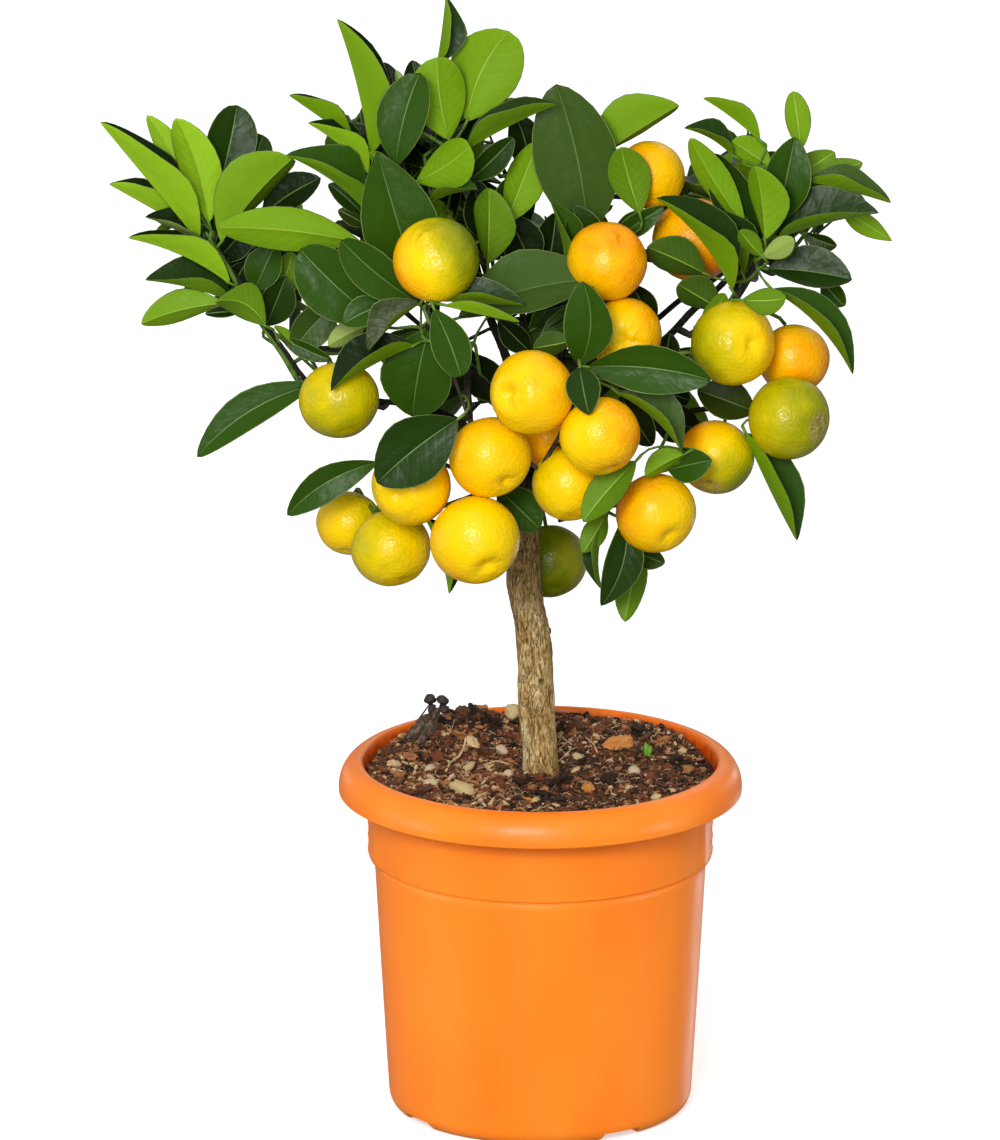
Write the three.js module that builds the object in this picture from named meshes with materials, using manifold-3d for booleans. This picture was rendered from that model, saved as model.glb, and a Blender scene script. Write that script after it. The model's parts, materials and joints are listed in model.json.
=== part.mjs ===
// A calamondin orange tree in its pot: a small citrus standard with a short bare trunk,
// a round, open crown of leafy shoots, and a thick-rimmed plastic pot full of compost.
// Millimetres, +Z up. The origin is the middle of the pot's flat underside, and the
// crown's front faces -Y.
import * as THREE from "three";
import { mergeVertices } from "three/addons/utils/BufferGeometryUtils.js";
import Module from "manifold-3d";

const wasm = await Module();
wasm.setup();

// ---------------------------------------------------------------- driving dimensions
// Pot
const POT_HEIGHT = 169.4;
const RIM_RADIUS = 95; // widest ring of the rolled rim
const RIM_DEPTH = 15.9; // from the rim's top to its lower lip
const RIM_CROWN_RADIUS = 85; // the rim's highest ring
const RIM_WIDEST_DEPTH = 13; // from the rim's top to its widest ring
const MOUTH_RADIUS = 82.2; // inner edge of the rim
const WALL = 2.2;
const FOOT_RADIUS = 65.8; // flat of the underside
const FOOT_ROUND = [5.8, 8]; // width and height of the rounded bottom edge
const BODY_TOP_RADIUS = 78.3; // body wall where the collar begins
const COLLAR_BOTTOM = 121.8;
const COLLAR_STEP = 1;
const COLLAR_TOP_RADIUS = 81;
const FLOOR = 6.5;
const POT_SEGMENTS = 40;

// Drain channels under the pot, each open in a notch at the bottom edge
const CHANNELS = 4;
const CHANNEL_TURN = 33.5; // degrees from the front (-Y) towards +X
const CHANNEL_WIDTH = 27;
const CHANNEL_DEPTH = 4;
const CHANNEL_START = 26; // from the pot's axis
const DRAIN_RADIUS = 4.5;
const DRAIN_AT = 46;

// Grip pads on the collar, left and right
const PAD_HALF_ANGLE = 20; // degrees
const PAD_BOTTOM = 119.5;
const PAD_RADIUS = 81.4;

const SMALLEST_REACH = 8; // of a mass, where its neighbours crowd it

// Compost
const SOIL_TOP = 164;
const SOIL_SWELL = 1.3; // how far the surface rises and falls
const SOIL_LEVEL_RADIUS = 16; // level round the trunk
const SOIL_HEAP = { x: -36, y: 54, height: 4.5, spread: 22 };
const SOIL_BACK = { from: 15, to: 60, height: 4.2 }; // it rises towards the back
const SOIL_RINGS = 6;
const SOIL_SEGMENTS = 32;

// Trunk: height above the pot's underside, sideways offset and radius
const TRUNK_STATIONS = [
  { z: SOIL_TOP + 0.3, x: 0, r: 9.8 },
  { z: 172, x: 0, r: 8.7 },
  { z: 193, x: -1.2, r: 8.6 },
  { z: 223, x: -3.5, r: 9.1 },
  { z: 250, x: -6.2, r: 9.5 },
  { z: 276, x: -6.8, r: 8.5 },
  { z: 300, x: -6.2, r: 7.3 },
  { z: 319, x: -5.4, r: 6.9 },
];
const TRUNK_SIDES = 14;
const TRUNK_STEPS = 14;
const BOUGH_SIDES = 7;
const BOUGH_STEPS = 6;

const GAP = 0.3; // between pieces that touch

// ---------------------------------------------------------------- colours
const look = (colour, roughness) =>
  new THREE.MeshStandardMaterial({ color: colour, roughness, metalness: 0 });
const POT_LOOK = look(0xff8a1e, 0.38);
const SOIL_LOOK = look(0x4f3a2e, 0.95);
const BARK_LOOK = look(0x8a7650, 0.85);
const BOUGH_LOOK = look(0x4b4a2c, 0.8);
const LEAF_LOOKS = [look(0x2f5d1c, 0.45), look(0x7fae2a, 0.5), look(0x47762a, 0.5)];

// ---------------------------------------------------------------- solids and meshes
const radians = (degrees) => (degrees * Math.PI) / 180;

/** A closed geometry as a solid that can be cut and joined. */
function solidOf(geometry) {
  const bare = geometry.clone();
  bare.deleteAttribute("normal");
  bare.deleteAttribute("uv");
  const merged = mergeVertices(bare, 1e-4);
  return new wasm.Manifold(
    new wasm.Mesh({
      numProp: 3,
      vertProperties: new Float32Array(merged.attributes.position.array),
      triVerts: new Uint32Array(merged.index.array),
    }),
  );
}

/** A solid as a geometry. */
function geometryOf(solid) {
  const { numProp, numVert, vertProperties, triVerts } = solid.getMesh();
  const places = new Float32Array(numVert * 3);
  for (let i = 0; i < numVert; i++) {
    places.set(vertProperties.subarray(i * numProp, i * numProp + 3), i * 3);
  }
  return new THREE.BufferGeometry()
    .setAttribute("position", new THREE.BufferAttribute(places, 3))
    .setIndex(new THREE.BufferAttribute(new Uint32Array(triVerts), 1));
}

/** The largest of the separate bodies that a cut leaves. */
function largest(solid) {
  return solid.decompose().reduce((a, b) => (b.volume() > a.volume() ? b : a));
}

const tree = new THREE.Group();

function addMesh(name, geometry, material) {
  geometry.computeVertexNormals();
  const mesh = new THREE.Mesh(geometry, material);
  mesh.name = name;
  tree.add(mesh);
  return mesh;
}

/** A lathe about Z, from [radius, height] pairs that run anticlockwise. */
function turned(profile, segments) {
  const points = profile.map(([r, z]) => new THREE.Vector2(r, z));
  return new THREE.LatheGeometry(points, segments).rotateX(Math.PI / 2);
}

/** Points on an ellipse's arc, as [radius, height] pairs. */
function arc(centre, radii, from, to, steps) {
  return Array.from({ length: steps + 1 }, (_, i) => {
    const a = radians(from + ((to - from) * i) / steps);
    return [centre[0] + radii[0] * Math.cos(a), centre[1] + radii[1] * Math.sin(a)];
  });
}

// ---------------------------------------------------------------- pot
/** Radius of the pot's body at a height below the collar. */
function bodyRadius(z) {
  const low = FOOT_RADIUS + FOOT_ROUND[0];
  const share = (z - FOOT_ROUND[1]) / (COLLAR_BOTTOM - FOOT_ROUND[1]);
  return low + (BODY_TOP_RADIUS - low) * share;
}

/** The inside of the wall and floor, from the mouth down to the axis. */
const inside = () => [
  [MOUTH_RADIUS, POT_HEIGHT - RIM_DEPTH / 2],
  [COLLAR_TOP_RADIUS - WALL, POT_HEIGHT - RIM_DEPTH + 1],
  [BODY_TOP_RADIUS - WALL, COLLAR_BOTTOM],
  [bodyRadius(FLOOR + 6) - WALL, FLOOR + 6],
  [FOOT_RADIUS - WALL, FLOOR],
  [0, FLOOR],
];

function potShell() {
  const lip = POT_HEIGHT - RIM_DEPTH;
  const crown = [RIM_CROWN_RADIUS, POT_HEIGHT - RIM_WIDEST_DEPTH];
  const outside = [
    [0, 0],
    ...arc([FOOT_RADIUS, FOOT_ROUND[1]], FOOT_ROUND, -90, 0, 3),
    [BODY_TOP_RADIUS, COLLAR_BOTTOM],
    [BODY_TOP_RADIUS + COLLAR_STEP, COLLAR_BOTTOM + 1],
    [COLLAR_TOP_RADIUS, lip + 1],
    [RIM_RADIUS - 1, lip],
    ...arc(crown, [RIM_RADIUS - RIM_CROWN_RADIUS, RIM_WIDEST_DEPTH], 0, 90, 5),
    ...arc(crown, [RIM_CROWN_RADIUS - MOUTH_RADIUS, RIM_WIDEST_DEPTH], 110, 150, 2),
  ];
  return solidOf(turned([...outside, ...inside()], POT_SEGMENTS));
}

/** One trapezoid drain channel, lying along -Y before it is turned. */
function drainChannel(index) {
  const half = CHANNEL_WIDTH / 2;
  const section = new THREE.Shape([
    new THREE.Vector2(-half - 2, -1),
    new THREE.Vector2(half + 2, -1),
    new THREE.Vector2(half - 2, CHANNEL_DEPTH),
    new THREE.Vector2(2 - half, CHANNEL_DEPTH),
  ]);
  const length = RIM_RADIUS - CHANNEL_START;
  const channel = new THREE.ExtrudeGeometry(section, { depth: length, bevelEnabled: false })
    .rotateX(Math.PI / 2)
    .translate(0, -CHANNEL_START, 0);
  const turn = radians(CHANNEL_TURN + (360 / CHANNELS) * index);
  return solidOf(channel.rotateZ(turn));
}

function drainHole(index) {
  const turn = radians(CHANNEL_TURN + (360 / CHANNELS) * index);
  const hole = new THREE.CylinderGeometry(DRAIN_RADIUS, DRAIN_RADIUS, 3 * FLOOR, 16)
    .rotateX(Math.PI / 2)
    .translate(0, -DRAIN_AT, 0)
    .rotateZ(turn);
  return solidOf(hole);
}

/** A raised pad on the collar, round the +X or -X side. */
function gripPad(side) {
  const half = radians(PAD_HALF_ANGLE);
  const middle = side > 0 ? 0 : Math.PI;
  const inner = BODY_TOP_RADIUS - WALL;
  const height = POT_HEIGHT - RIM_DEPTH + 1 - PAD_BOTTOM;
  const pad = new THREE.Shape();
  pad.absarc(0, 0, PAD_RADIUS, middle - half, middle + half, false);
  pad.absarc(0, 0, inner, middle + half, middle - half, true);
  const block = new THREE.ExtrudeGeometry(pad, { depth: height, bevelEnabled: false, curveSegments: 6 });
  return solidOf(block.translate(0, 0, PAD_BOTTOM));
}

function makePot() {
  const wall = inside();
  const cavity = solidOf(turned([...wall.reverse(), [0, POT_HEIGHT - RIM_DEPTH / 2]], POT_SEGMENTS));
  let pot = potShell();
  for (const side of [-1, 1]) {
    pot = pot.add(gripPad(side).subtract(cavity));
  }
  for (let i = 0; i < CHANNELS; i++) {
    pot = pot.subtract(drainChannel(i)).subtract(drainHole(i));
  }
  addMesh("pot", geometryOf(pot), POT_LOOK);
}

// ---------------------------------------------------------------- compost
/** Height of the compost's surface: level at the trunk and uneven further out. */
function soilHeight(x, y) {
  const out = Math.hypot(x, y);
  const uneven = Math.sin(x / 17 + 1.1) * Math.cos(y / 14 - 0.4) + 0.5 * Math.sin((x + y) / 9);
  const share = THREE.MathUtils.smoothstep(out, SOIL_LEVEL_RADIUS, 2.5 * SOIL_LEVEL_RADIUS);
  const from = Math.hypot(x - SOIL_HEAP.x, y - SOIL_HEAP.y) / SOIL_HEAP.spread;
  const heap = SOIL_HEAP.height * Math.exp(-(from ** 2));
  const toBack = THREE.MathUtils.clamp((y - SOIL_BACK.from) / (SOIL_BACK.to - SOIL_BACK.from), 0, 1);
  return SOIL_TOP + share * (SOIL_SWELL * (uneven - 0.6) + heap + SOIL_BACK.height * toBack);
}

function makeSoil() {
  const lip = POT_HEIGHT - RIM_DEPTH + 1;
  const collar = [BODY_TOP_RADIUS - WALL, COLLAR_TOP_RADIUS - WALL];
  const inner = (z) => {
    const up = (low, high) => THREE.MathUtils.clamp((z - low) / (high - low), 0, 1);
    const body = Math.min(bodyRadius(z) - WALL, collar[0]);
    const share = up(lip, POT_HEIGHT - RIM_DEPTH / 2);
    const flare = (collar[1] - collar[0]) * up(COLLAR_BOTTOM, lip);
    return body + flare + (MOUTH_RADIUS - collar[1]) * share - 2 * GAP;
  };
  const top = inner(SOIL_TOP - 5);
  const surface = Array.from({ length: SOIL_RINGS }, (_, i) => [
    (top - 1) * (1 - i / SOIL_RINGS),
    SOIL_TOP,
  ]);
  const profile = [
    [0, FLOOR + GAP],
    [FOOT_RADIUS - WALL - 4, FLOOR + GAP],
    [inner(FLOOR + 8) - 1, FLOOR + 8],
    [inner(COLLAR_BOTTOM - 1), COLLAR_BOTTOM - 1],
    [inner(lip), lip],
    [top, SOIL_TOP - 5],
    ...surface,
    [0, SOIL_TOP],
  ];
  const soil = turned(profile, SOIL_SEGMENTS);
  const places = soil.attributes.position;
  for (let i = 0; i < places.count; i++) {
    if (places.getZ(i) > SOIL_TOP - 0.01) {
      places.setZ(i, soilHeight(places.getX(i), places.getY(i)));
    }
  }
  addMesh("compost", geometryOf(solidOf(soil)), SOIL_LOOK);
}

// ---------------------------------------------------------------- trunk and boughs
/** A tapering limb along a smooth curve, as a solid. Radii are spread along its length. */
function limb(places, radii, sides, steps, extra = 0) {
  const curve = new THREE.CatmullRomCurve3(places, false, "centripetal");
  const radiusAt = (t) => {
    const at = t * (radii.length - 1);
    const low = Math.min(Math.floor(at), radii.length - 2);
    return THREE.MathUtils.lerp(radii[low], radii[low + 1], at - low) + extra;
  };
  const profile = [new THREE.Vector2(0, 0)];
  for (let i = 0; i <= steps; i++) {
    profile.push(new THREE.Vector2(radiusAt(i / steps), i / steps));
  }
  profile.push(new THREE.Vector2(0, 1));
  const geometry = new THREE.LatheGeometry(profile, sides);
  const spots = geometry.attributes.position;
  const along = new THREE.Vector3();
  const across = new THREE.Vector3();
  const aside = new THREE.Vector3();
  for (let i = 0; i < spots.count; i++) {
    const t = THREE.MathUtils.clamp(spots.getY(i), 0, 1);
    curve.getTangentAt(t, along);
    // Y x along gives a steady sideways direction, because no limb runs straight along Y.
    across.set(0, 1, 0).cross(along).normalize();
    aside.copy(along).cross(across);
    const spot = curve
      .getPointAt(t)
      .addScaledVector(across, -spots.getX(i))
      .addScaledVector(aside, spots.getZ(i));
    spots.setXYZ(i, spot.x, spot.y, spot.z);
  }
  const made = solidOf(geometry);
  if (made.volume() < 0) {
    throw new Error("a limb is inside out");
  }
  return made;
}

/** The trunk, or the same shape grown by a little for cutting its neighbours. */
function trunkSolid(extra) {
  const foot = TRUNK_STATIONS[0].z;
  const fork = TRUNK_STATIONS.at(-1).z;
  const places = TRUNK_STATIONS.map(({ x, z }) => new THREE.Vector3(x, 0, z));
  places.at(-1).z += extra;
  const radii = Array.from({ length: TRUNK_STEPS + 1 }, (_, i) => {
    const z = foot + ((fork - foot) * i) / TRUNK_STEPS;
    const above = Math.max(
      1,
      TRUNK_STATIONS.findIndex((s) => s.z >= z - 1e-6),
    );
    const low = TRUNK_STATIONS[above - 1];
    const high = TRUNK_STATIONS[above];
    return THREE.MathUtils.lerp(low.r, high.r, (z - low.z) / (high.z - low.z));
  });
  return limb(places, radii, TRUNK_SIDES, TRUNK_STEPS, extra);
}

// ---------------------------------------------------------------- masses of foliage
// Each mass: its middle, its half sizes, and the leaf tips that it reaches out to.
const MASSES = {
  left_shoot: {
    centre: [-160, -4, 434],
    half: [40, 42, 44],
    reach: [[-207, -5, 482], [-172, -5, 485], [-188, -10, 384], [-118, 0, 455], [-202, 6, 430]],
  },
  left_low: {
    centre: [-112, -18, 352],
    half: [36, 30, 24],
    reach: [[-161, -20, 322], [-128, -15, 362]],
  },
  top_left: {
    centre: [-62, -2, 482],
    half: [44, 42, 42],
    reach: [[-45, 0, 542], [-96, 0, 532], [-117, 0, 492], [-10, 0, 522], [6, -5, 492]],
  },
  top_middle: {
    centre: [26, 14, 452],
    half: [38, 38, 36],
    reach: [[8, 8, 500], [64, 10, 490], [60, 10, 452]],
  },
  right_shoot: {
    centre: [110, -4, 432],
    half: [44, 44, 40],
    reach: [[77, 0, 495], [121, 0, 497], [165, 0, 427], [152, 5, 465], [68, -10, 482], [146, -10, 395]],
  },
  middle_left: {
    centre: [-62, -70, 411],
    half: [48, 44, 46],
    reach: [[-112, -50, 425], [-76, -70, 478], [-56, -124, 404]],
  },
  middle_front: {
    centre: [26, -74, 397],
    half: [46, 42, 42],
    reach: [[80, -60, 378], [22, -128, 390]],
  },
  low_left: {
    centre: [-56, -56, 305],
    half: [46, 42, 37],
    reach: [[-119, -45, 302], [-55, -62, 262]],
  },
  low_right: {
    centre: [38, -50, 310],
    half: [38, 38, 36],
    reach: [[40, -40, 248], [30, -40, 260], [72, -45, 300]],
  },
  right_low: {
    centre: [108, -24, 352],
    half: [32, 36, 36],
    reach: [[122, -20, 284], [148, -12, 366], [82, -25, 310]],
  },
  back_left: {
    centre: [-94, 80, 402],
    half: [48, 50, 46],
    reach: [[-146, 95, 430], [-118, 138, 388]],
  },
  back_top: {
    centre: [-6, 92, 424],
    half: [46, 48, 42],
    reach: [[-24, 120, 458], [22, 150, 420]],
  },
  back_right: {
    centre: [88, 80, 392],
    half: [46, 50, 48],
    reach: [[140, 98, 420], [104, 136, 368]],
  },
  back_low: {
    centre: [-10, 82, 332],
    half: [54, 44, 40],
    reach: [[36, 112, 296], [-64, 104, 308]],
  },
};
// The open middle of the crown, where the boughs run.
const CORE = { centre: [-4, 4, 356], half: [30, 26, 34] };
const MASS_DETAIL = 3;
const LOBE_HALF_ANGLE = 34; // degrees, of the lobe that reaches to a tip

const mean = (half) => (half[0] + half[1] + half[2]) / 3;

/** How far a mass can run from its middle before it meets the cell of another mass. */
function cellLimit(site, other, direction) {
  const from = new THREE.Vector3(...site.centre);
  const to = new THREE.Vector3(...other.centre);
  const apart = to.clone().sub(from);
  const length = apart.length();
  const wall = (length + (mean(site.half) ** 2 - mean(other.half) ** 2) / length) / 2;
  const facing = direction.dot(apart.normalize());
  return facing > 1e-3 ? (wall - GAP) / facing : Infinity;
}

function massSolid(name, extra = 0) {
  const mass = MASSES[name];
  const seed = Object.keys(MASSES).indexOf(name);
  const others = [CORE, ...Object.values(MASSES).filter((m) => m !== mass)];
  const geometry = mergeVertices(
    new THREE.IcosahedronGeometry(1, MASS_DETAIL).deleteAttribute("normal").deleteAttribute("uv"),
    1e-4,
  );
  const spots = geometry.attributes.position;
  const centre = new THREE.Vector3(...mass.centre);
  const lobes = mass.reach.map((tip) => new THREE.Vector3(...tip).sub(centre));
  const edge = Math.cos(radians(LOBE_HALF_ANGLE));
  for (let i = 0; i < spots.count; i++) {
    const d = new THREE.Vector3().fromBufferAttribute(spots, i).normalize();
    const round = 1 / Math.hypot(d.x / mass.half[0], d.y / mass.half[1], d.z / mass.half[2]);
    const uneven =
      Math.sin(5 * d.x + seed) * Math.sin(4 * d.y - 2 * seed) + Math.sin(6 * d.z + 3 * seed + 2 * d.x);
    let reach = round * (1 + 0.07 * uneven);
    for (const lobe of lobes) {
      const facing = (d.dot(lobe) / lobe.length() - edge) / (1 - edge);
      if (facing > 0) {
        reach = Math.max(reach, THREE.MathUtils.lerp(round, lobe.length(), facing ** 1.3));
      }
    }
    for (const other of others) {
      reach = Math.min(reach, cellLimit(mass, other, d));
    }
    const spot = d.multiplyScalar(Math.max(reach, SMALLEST_REACH) + extra).add(centre);
    spots.setXYZ(i, spot.x, spot.y, spot.z);
  }
  return solidOf(geometry);
}

// Each bough: the mass it feeds, where it leaves the trunk or a lower mass, the places
// that it bends through, and its radius at both ends.
const BOUGHS = [
  { to: "top_left", from: [-5, 0, 316], by: [[-12, 6, 350], [-30, 8, 400]], r: [5.2, 3.2] },
  { to: "right_shoot", from: [-4, 0, 314], by: [[24, 2, 344], [62, 4, 378]], r: [5, 2.8] },
  { to: "top_middle", from: [-5, 2, 318], by: [[2, 8, 355], [10, 12, 395]], r: [4.6, 3] },
  { to: "left_low", from: [-6, 0, 306], by: [[-32, -4, 332], [-62, -12, 346]], r: [4.6, 3] },
  { to: "middle_left", from: [-6, -2, 312], by: [[-20, -18, 345], [-34, -36, 372]], r: [4, 2.6] },
  { to: "middle_front", from: [-4, -2, 310], by: [[4, -22, 344], [12, -40, 366]], r: [4, 2.6] },
  { to: "right_low", from: [-5, 0, 304], by: [[26, -8, 326], [58, -16, 342]], r: [4, 2.6] },
  { to: "back_left", from: [-6, 2, 312], by: [[-24, 26, 344], [-46, 44, 370]], r: [4.2, 2.6] },
  { to: "back_right", from: [-5, 2, 309], by: [[18, 26, 338], [40, 44, 360]], r: [4.2, 2.6] },
  { to: "back_top", from: [-5, 3, 314], by: [[-3, 28, 352], [-5, 48, 388]], r: [4.2, 2.6] },
  { to: "low_left", from: [-6, -1, 296], by: [[-18, -14, 306]], r: [3.6, 2.4] },
  { to: "low_right", from: [-5, -1, 294], by: [[8, -14, 306]], r: [3.6, 2.4] },
  { to: "back_low", from: [-6, 1, 298], by: [[-8, 18, 312]], r: [3.6, 2.4] },
];
// The bare twig that rises from the low left mass to the left shoot.
const RISER = { from: "left_low", to: "left_shoot", by: [[-120, -14, 372], [-134, -10, 392]], r: [2.4, 2] };

function makePlant() {
  // Each cutter is larger by the gap than the piece that it stands for.
  addMesh("trunk", geometryOf(trunkSolid(0)), BARK_LOOK);

  const cutters = [trunkSolid(GAP)];
  const places = (spots) => spots.map((p) => new THREE.Vector3(...p));
  for (const { to, from, by, r } of BOUGHS) {
    const path = places([from, ...by, MASSES[to].centre]);
    let bough = limb(path, r, BOUGH_SIDES, BOUGH_STEPS);
    for (const cutter of [...cutters, massSolid(to, GAP)]) {
      bough = bough.subtract(cutter);
    }
    cutters.push(limb(path, r, BOUGH_SIDES, BOUGH_STEPS, GAP));
    addMesh(`bough_${to}`, geometryOf(largest(bough)), BOUGH_LOOK);
  }

  const risen = places([MASSES[RISER.from].centre, ...RISER.by, MASSES[RISER.to].centre]);
  const riser = limb(risen, RISER.r, BOUGH_SIDES, BOUGH_STEPS)
    .subtract(massSolid(RISER.from, GAP))
    .subtract(massSolid(RISER.to, GAP));
  addMesh("riser_left_shoot", geometryOf(largest(riser)), BOUGH_LOOK);

  Object.keys(MASSES).forEach((name, index) => {
    let mass = massSolid(name).subtract(cutters[0]);
    BOUGHS.forEach(({ to }, i) => {
      if (to !== name) {
        mass = mass.subtract(cutters[i + 1]);
      }
    });
    addMesh(`leaves_${name}`, geometryOf(largest(mass)), LEAF_LOOKS[index % LEAF_LOOKS.length]);
  });
}

makePot();
makeSoil();
makePlant();

export default tree;
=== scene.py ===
import json
import math
from random import Random

import bpy
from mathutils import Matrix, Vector, noise

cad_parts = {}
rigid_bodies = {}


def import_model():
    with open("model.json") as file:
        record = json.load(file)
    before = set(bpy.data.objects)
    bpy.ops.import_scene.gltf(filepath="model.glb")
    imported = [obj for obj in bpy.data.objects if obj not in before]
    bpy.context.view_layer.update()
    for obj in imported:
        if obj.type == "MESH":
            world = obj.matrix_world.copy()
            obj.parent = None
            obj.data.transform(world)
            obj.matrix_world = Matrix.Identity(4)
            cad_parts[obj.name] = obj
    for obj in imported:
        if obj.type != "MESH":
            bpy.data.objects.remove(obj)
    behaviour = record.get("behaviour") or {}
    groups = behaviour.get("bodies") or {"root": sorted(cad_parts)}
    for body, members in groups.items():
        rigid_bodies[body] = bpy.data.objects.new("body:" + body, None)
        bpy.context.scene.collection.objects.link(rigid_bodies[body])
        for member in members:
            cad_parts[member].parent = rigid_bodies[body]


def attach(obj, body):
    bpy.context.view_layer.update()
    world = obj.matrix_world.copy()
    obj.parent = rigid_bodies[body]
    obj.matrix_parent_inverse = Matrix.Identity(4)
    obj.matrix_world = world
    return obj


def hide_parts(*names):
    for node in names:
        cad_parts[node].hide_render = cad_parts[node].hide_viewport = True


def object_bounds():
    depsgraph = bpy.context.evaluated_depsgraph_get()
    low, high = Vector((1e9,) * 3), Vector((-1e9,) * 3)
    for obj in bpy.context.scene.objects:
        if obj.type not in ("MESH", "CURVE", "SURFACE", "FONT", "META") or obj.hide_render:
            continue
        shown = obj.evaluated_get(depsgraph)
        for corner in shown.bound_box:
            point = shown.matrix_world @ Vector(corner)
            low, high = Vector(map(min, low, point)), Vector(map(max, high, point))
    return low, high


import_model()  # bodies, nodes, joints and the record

CAD_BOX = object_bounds()

# ------------------------------------------------------------------ the pot
# A moulded polypropylene pot with a thick rolled rim, a collar with a step under it and a
# wall that tapers to a rounded foot. Its underside has four drain channels, each open at the
# edge. It is drawn up ring by ring from the foot, then over the rim and down the inside.
MM = 0.001  # sizes are in millimetres, except those of the floor and the lamps, in metres
RIM_TOP, RIM_LIP = 169.4, 153.5
RIM_CROWN, RIM_WIDE, MOUTH = 85.0, 95.2, 82.2
COLLAR_FOOT, COLLAR_TOP = 79.3, 81.0
STEP_TOP, STEP_FOOT, GROOVE = 123.2, 121.4, 0.5
WALL_TOP, WALL_FOOT = 78.4, 72.0
FOOT_FLAT, FOOT_ROUND = 65.8, (5.8, 8.0)
FLOOR, WALL = 6.5, 2.2
POT_SIDES = 160
CHANNEL_TURN, CHANNEL_WIDE, CHANNEL_DEEP, CHANNEL_START = 33.5, 27.0, 4.0, 26.0
DRAIN_RADIUS, DRAIN_AT, DRAIN_SIDES = 4.5, 46.0, 40
CHANNEL_DRAFT, CHANNEL_EDGE = 4.0, 0.8
PAD_REACH, PAD_HALF_ANGLE, PAD_FOOT = 0.3, 16, 119.5
PAD_FADE_ANGLE, PAD_FADE_HIGH = 8, 5


def arc(centre, radii, start, end, steps):
    """Points on an ellipse's arc, as (radius, height) pairs."""
    turns = [math.radians(start + (end - start) * i / steps) for i in range(steps + 1)]
    return [(centre[0] + radii[0] * math.cos(t), centre[1] + radii[1] * math.sin(t)) for t in turns]


def alone(piece=None):
    """Deselects everything, and leaves piece as the one selected and active object."""
    if bpy.context.object and bpy.context.object.mode != "OBJECT":
        bpy.ops.object.mode_set(mode="OBJECT")
    bpy.ops.object.select_all(action="DESELECT")
    if piece:
        piece.select_set(True)
        bpy.context.view_layer.objects.active = piece


def settled(piece):
    """Applies the piece's modifiers and its place, so that its object sits at the origin."""
    alone(piece)
    bpy.ops.object.transform_apply(location=True, rotation=True, scale=True)
    for modifier in list(piece.modifiers):
        bpy.ops.object.modifier_apply(modifier=modifier.name)
    return piece


def faced_outwards():
    """Turns the faces of the active piece outwards."""
    bpy.ops.object.mode_set(mode="EDIT")
    bpy.ops.mesh.select_all(action="SELECT")
    bpy.ops.mesh.normals_make_consistent(inside=False)
    bpy.ops.object.mode_set(mode="OBJECT")


def drawn_up(name, rings, sides):
    """A disc that is extruded and resized from ring to ring. A ring is its radius, its height
    and, where the piece leans, how far to the right its middle lies."""
    radius, height, right = (*rings[0], 0)[:3]
    alone()
    bpy.ops.mesh.primitive_circle_add(
        vertices=sides, radius=radius * MM, fill_type="NGON", location=(right * MM, 0, height * MM))
    piece = bpy.context.object
    piece.name = piece.data.name = name
    bpy.ops.object.transform_apply(location=True)
    bpy.ops.object.mode_set(mode="EDIT")
    bpy.ops.mesh.select_all(action="SELECT")
    for ring in rings[1:]:
        next_radius, next_height, next_right = (*ring, 0)[:3]
        shift = ((next_right - right) * MM, 0, (next_height - height) * MM)
        bpy.ops.mesh.extrude_region_move(TRANSFORM_OT_translate={"value": shift})
        grow = next_radius / radius
        centre = (next_right * MM, 0, next_height * MM)
        bpy.ops.transform.resize(value=(grow, grow, 1), center_override=centre)
        radius, height, right = next_radius, next_height, next_right
    faced_outwards()
    return piece


def cut(piece, tool):
    """Cuts the tool's solid out of the piece, and drops the tool."""
    settled(tool)
    alone(piece)
    modifier = piece.modifiers.new("cut", "BOOLEAN")
    modifier.operation, modifier.object, modifier.solver = "DIFFERENCE", tool, "EXACT"
    bpy.ops.object.modifier_apply(modifier=modifier.name)
    bpy.data.objects.remove(tool)


rim_centre = (RIM_CROWN, RIM_TOP - 13)
pot_rings = [
    (FOOT_FLAT - 1, 0),
    *arc((FOOT_FLAT, FOOT_ROUND[1]), FOOT_ROUND, -90, 0, 8),
    (WALL_FOOT + 0.4, 20), (WALL_FOOT + 3.4, 70), (WALL_TOP - 0.4, 115), (WALL_TOP - 0.25, 117),
    (WALL_TOP - 0.15, STEP_FOOT - 3), (WALL_TOP - 0.1, STEP_FOOT - 0.6),
    (WALL_TOP - 0.3, STEP_FOOT - 0.2), (WALL_TOP - GROOVE, STEP_FOOT),
    (WALL_TOP - GROOVE, STEP_TOP - 0.8), (COLLAR_FOOT - 0.35, STEP_TOP - 0.4),
    (COLLAR_FOOT - 0.05, STEP_TOP - 0.1), (COLLAR_FOOT, STEP_TOP + 0.3),
    (COLLAR_FOOT + 0.1, STEP_TOP + 3), (COLLAR_TOP - 0.3, RIM_LIP - 4),
    *arc((COLLAR_TOP + 1.6, RIM_LIP - 1.6), (1.9, 1.9), 180, 90, 4),
    (RIM_WIDE - 3, RIM_LIP), *arc((RIM_WIDE - 2.2, RIM_LIP + 2.2), (1.8, 2.2), -90, 0, 4),
    *arc(rim_centre, (RIM_WIDE - RIM_CROWN, RIM_TOP - rim_centre[1]), -8, 90, 12),
    *arc(rim_centre, (RIM_CROWN - MOUTH, RIM_TOP - rim_centre[1]), 97, 170, 8),
    (MOUTH, RIM_TOP - 11), (COLLAR_TOP - WALL - 0.2, RIM_LIP + 1), (COLLAR_FOOT - WALL, STEP_TOP),
    (WALL_FOOT - WALL + 0.4, 20),
    (WALL_FOOT - WALL - 1, FLOOR + 3), (FOOT_FLAT - WALL, FLOOR), (FOOT_FLAT - WALL - 20, FLOOR),
]
pot = drawn_up("pot_shell", pot_rings, POT_SIDES)
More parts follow.
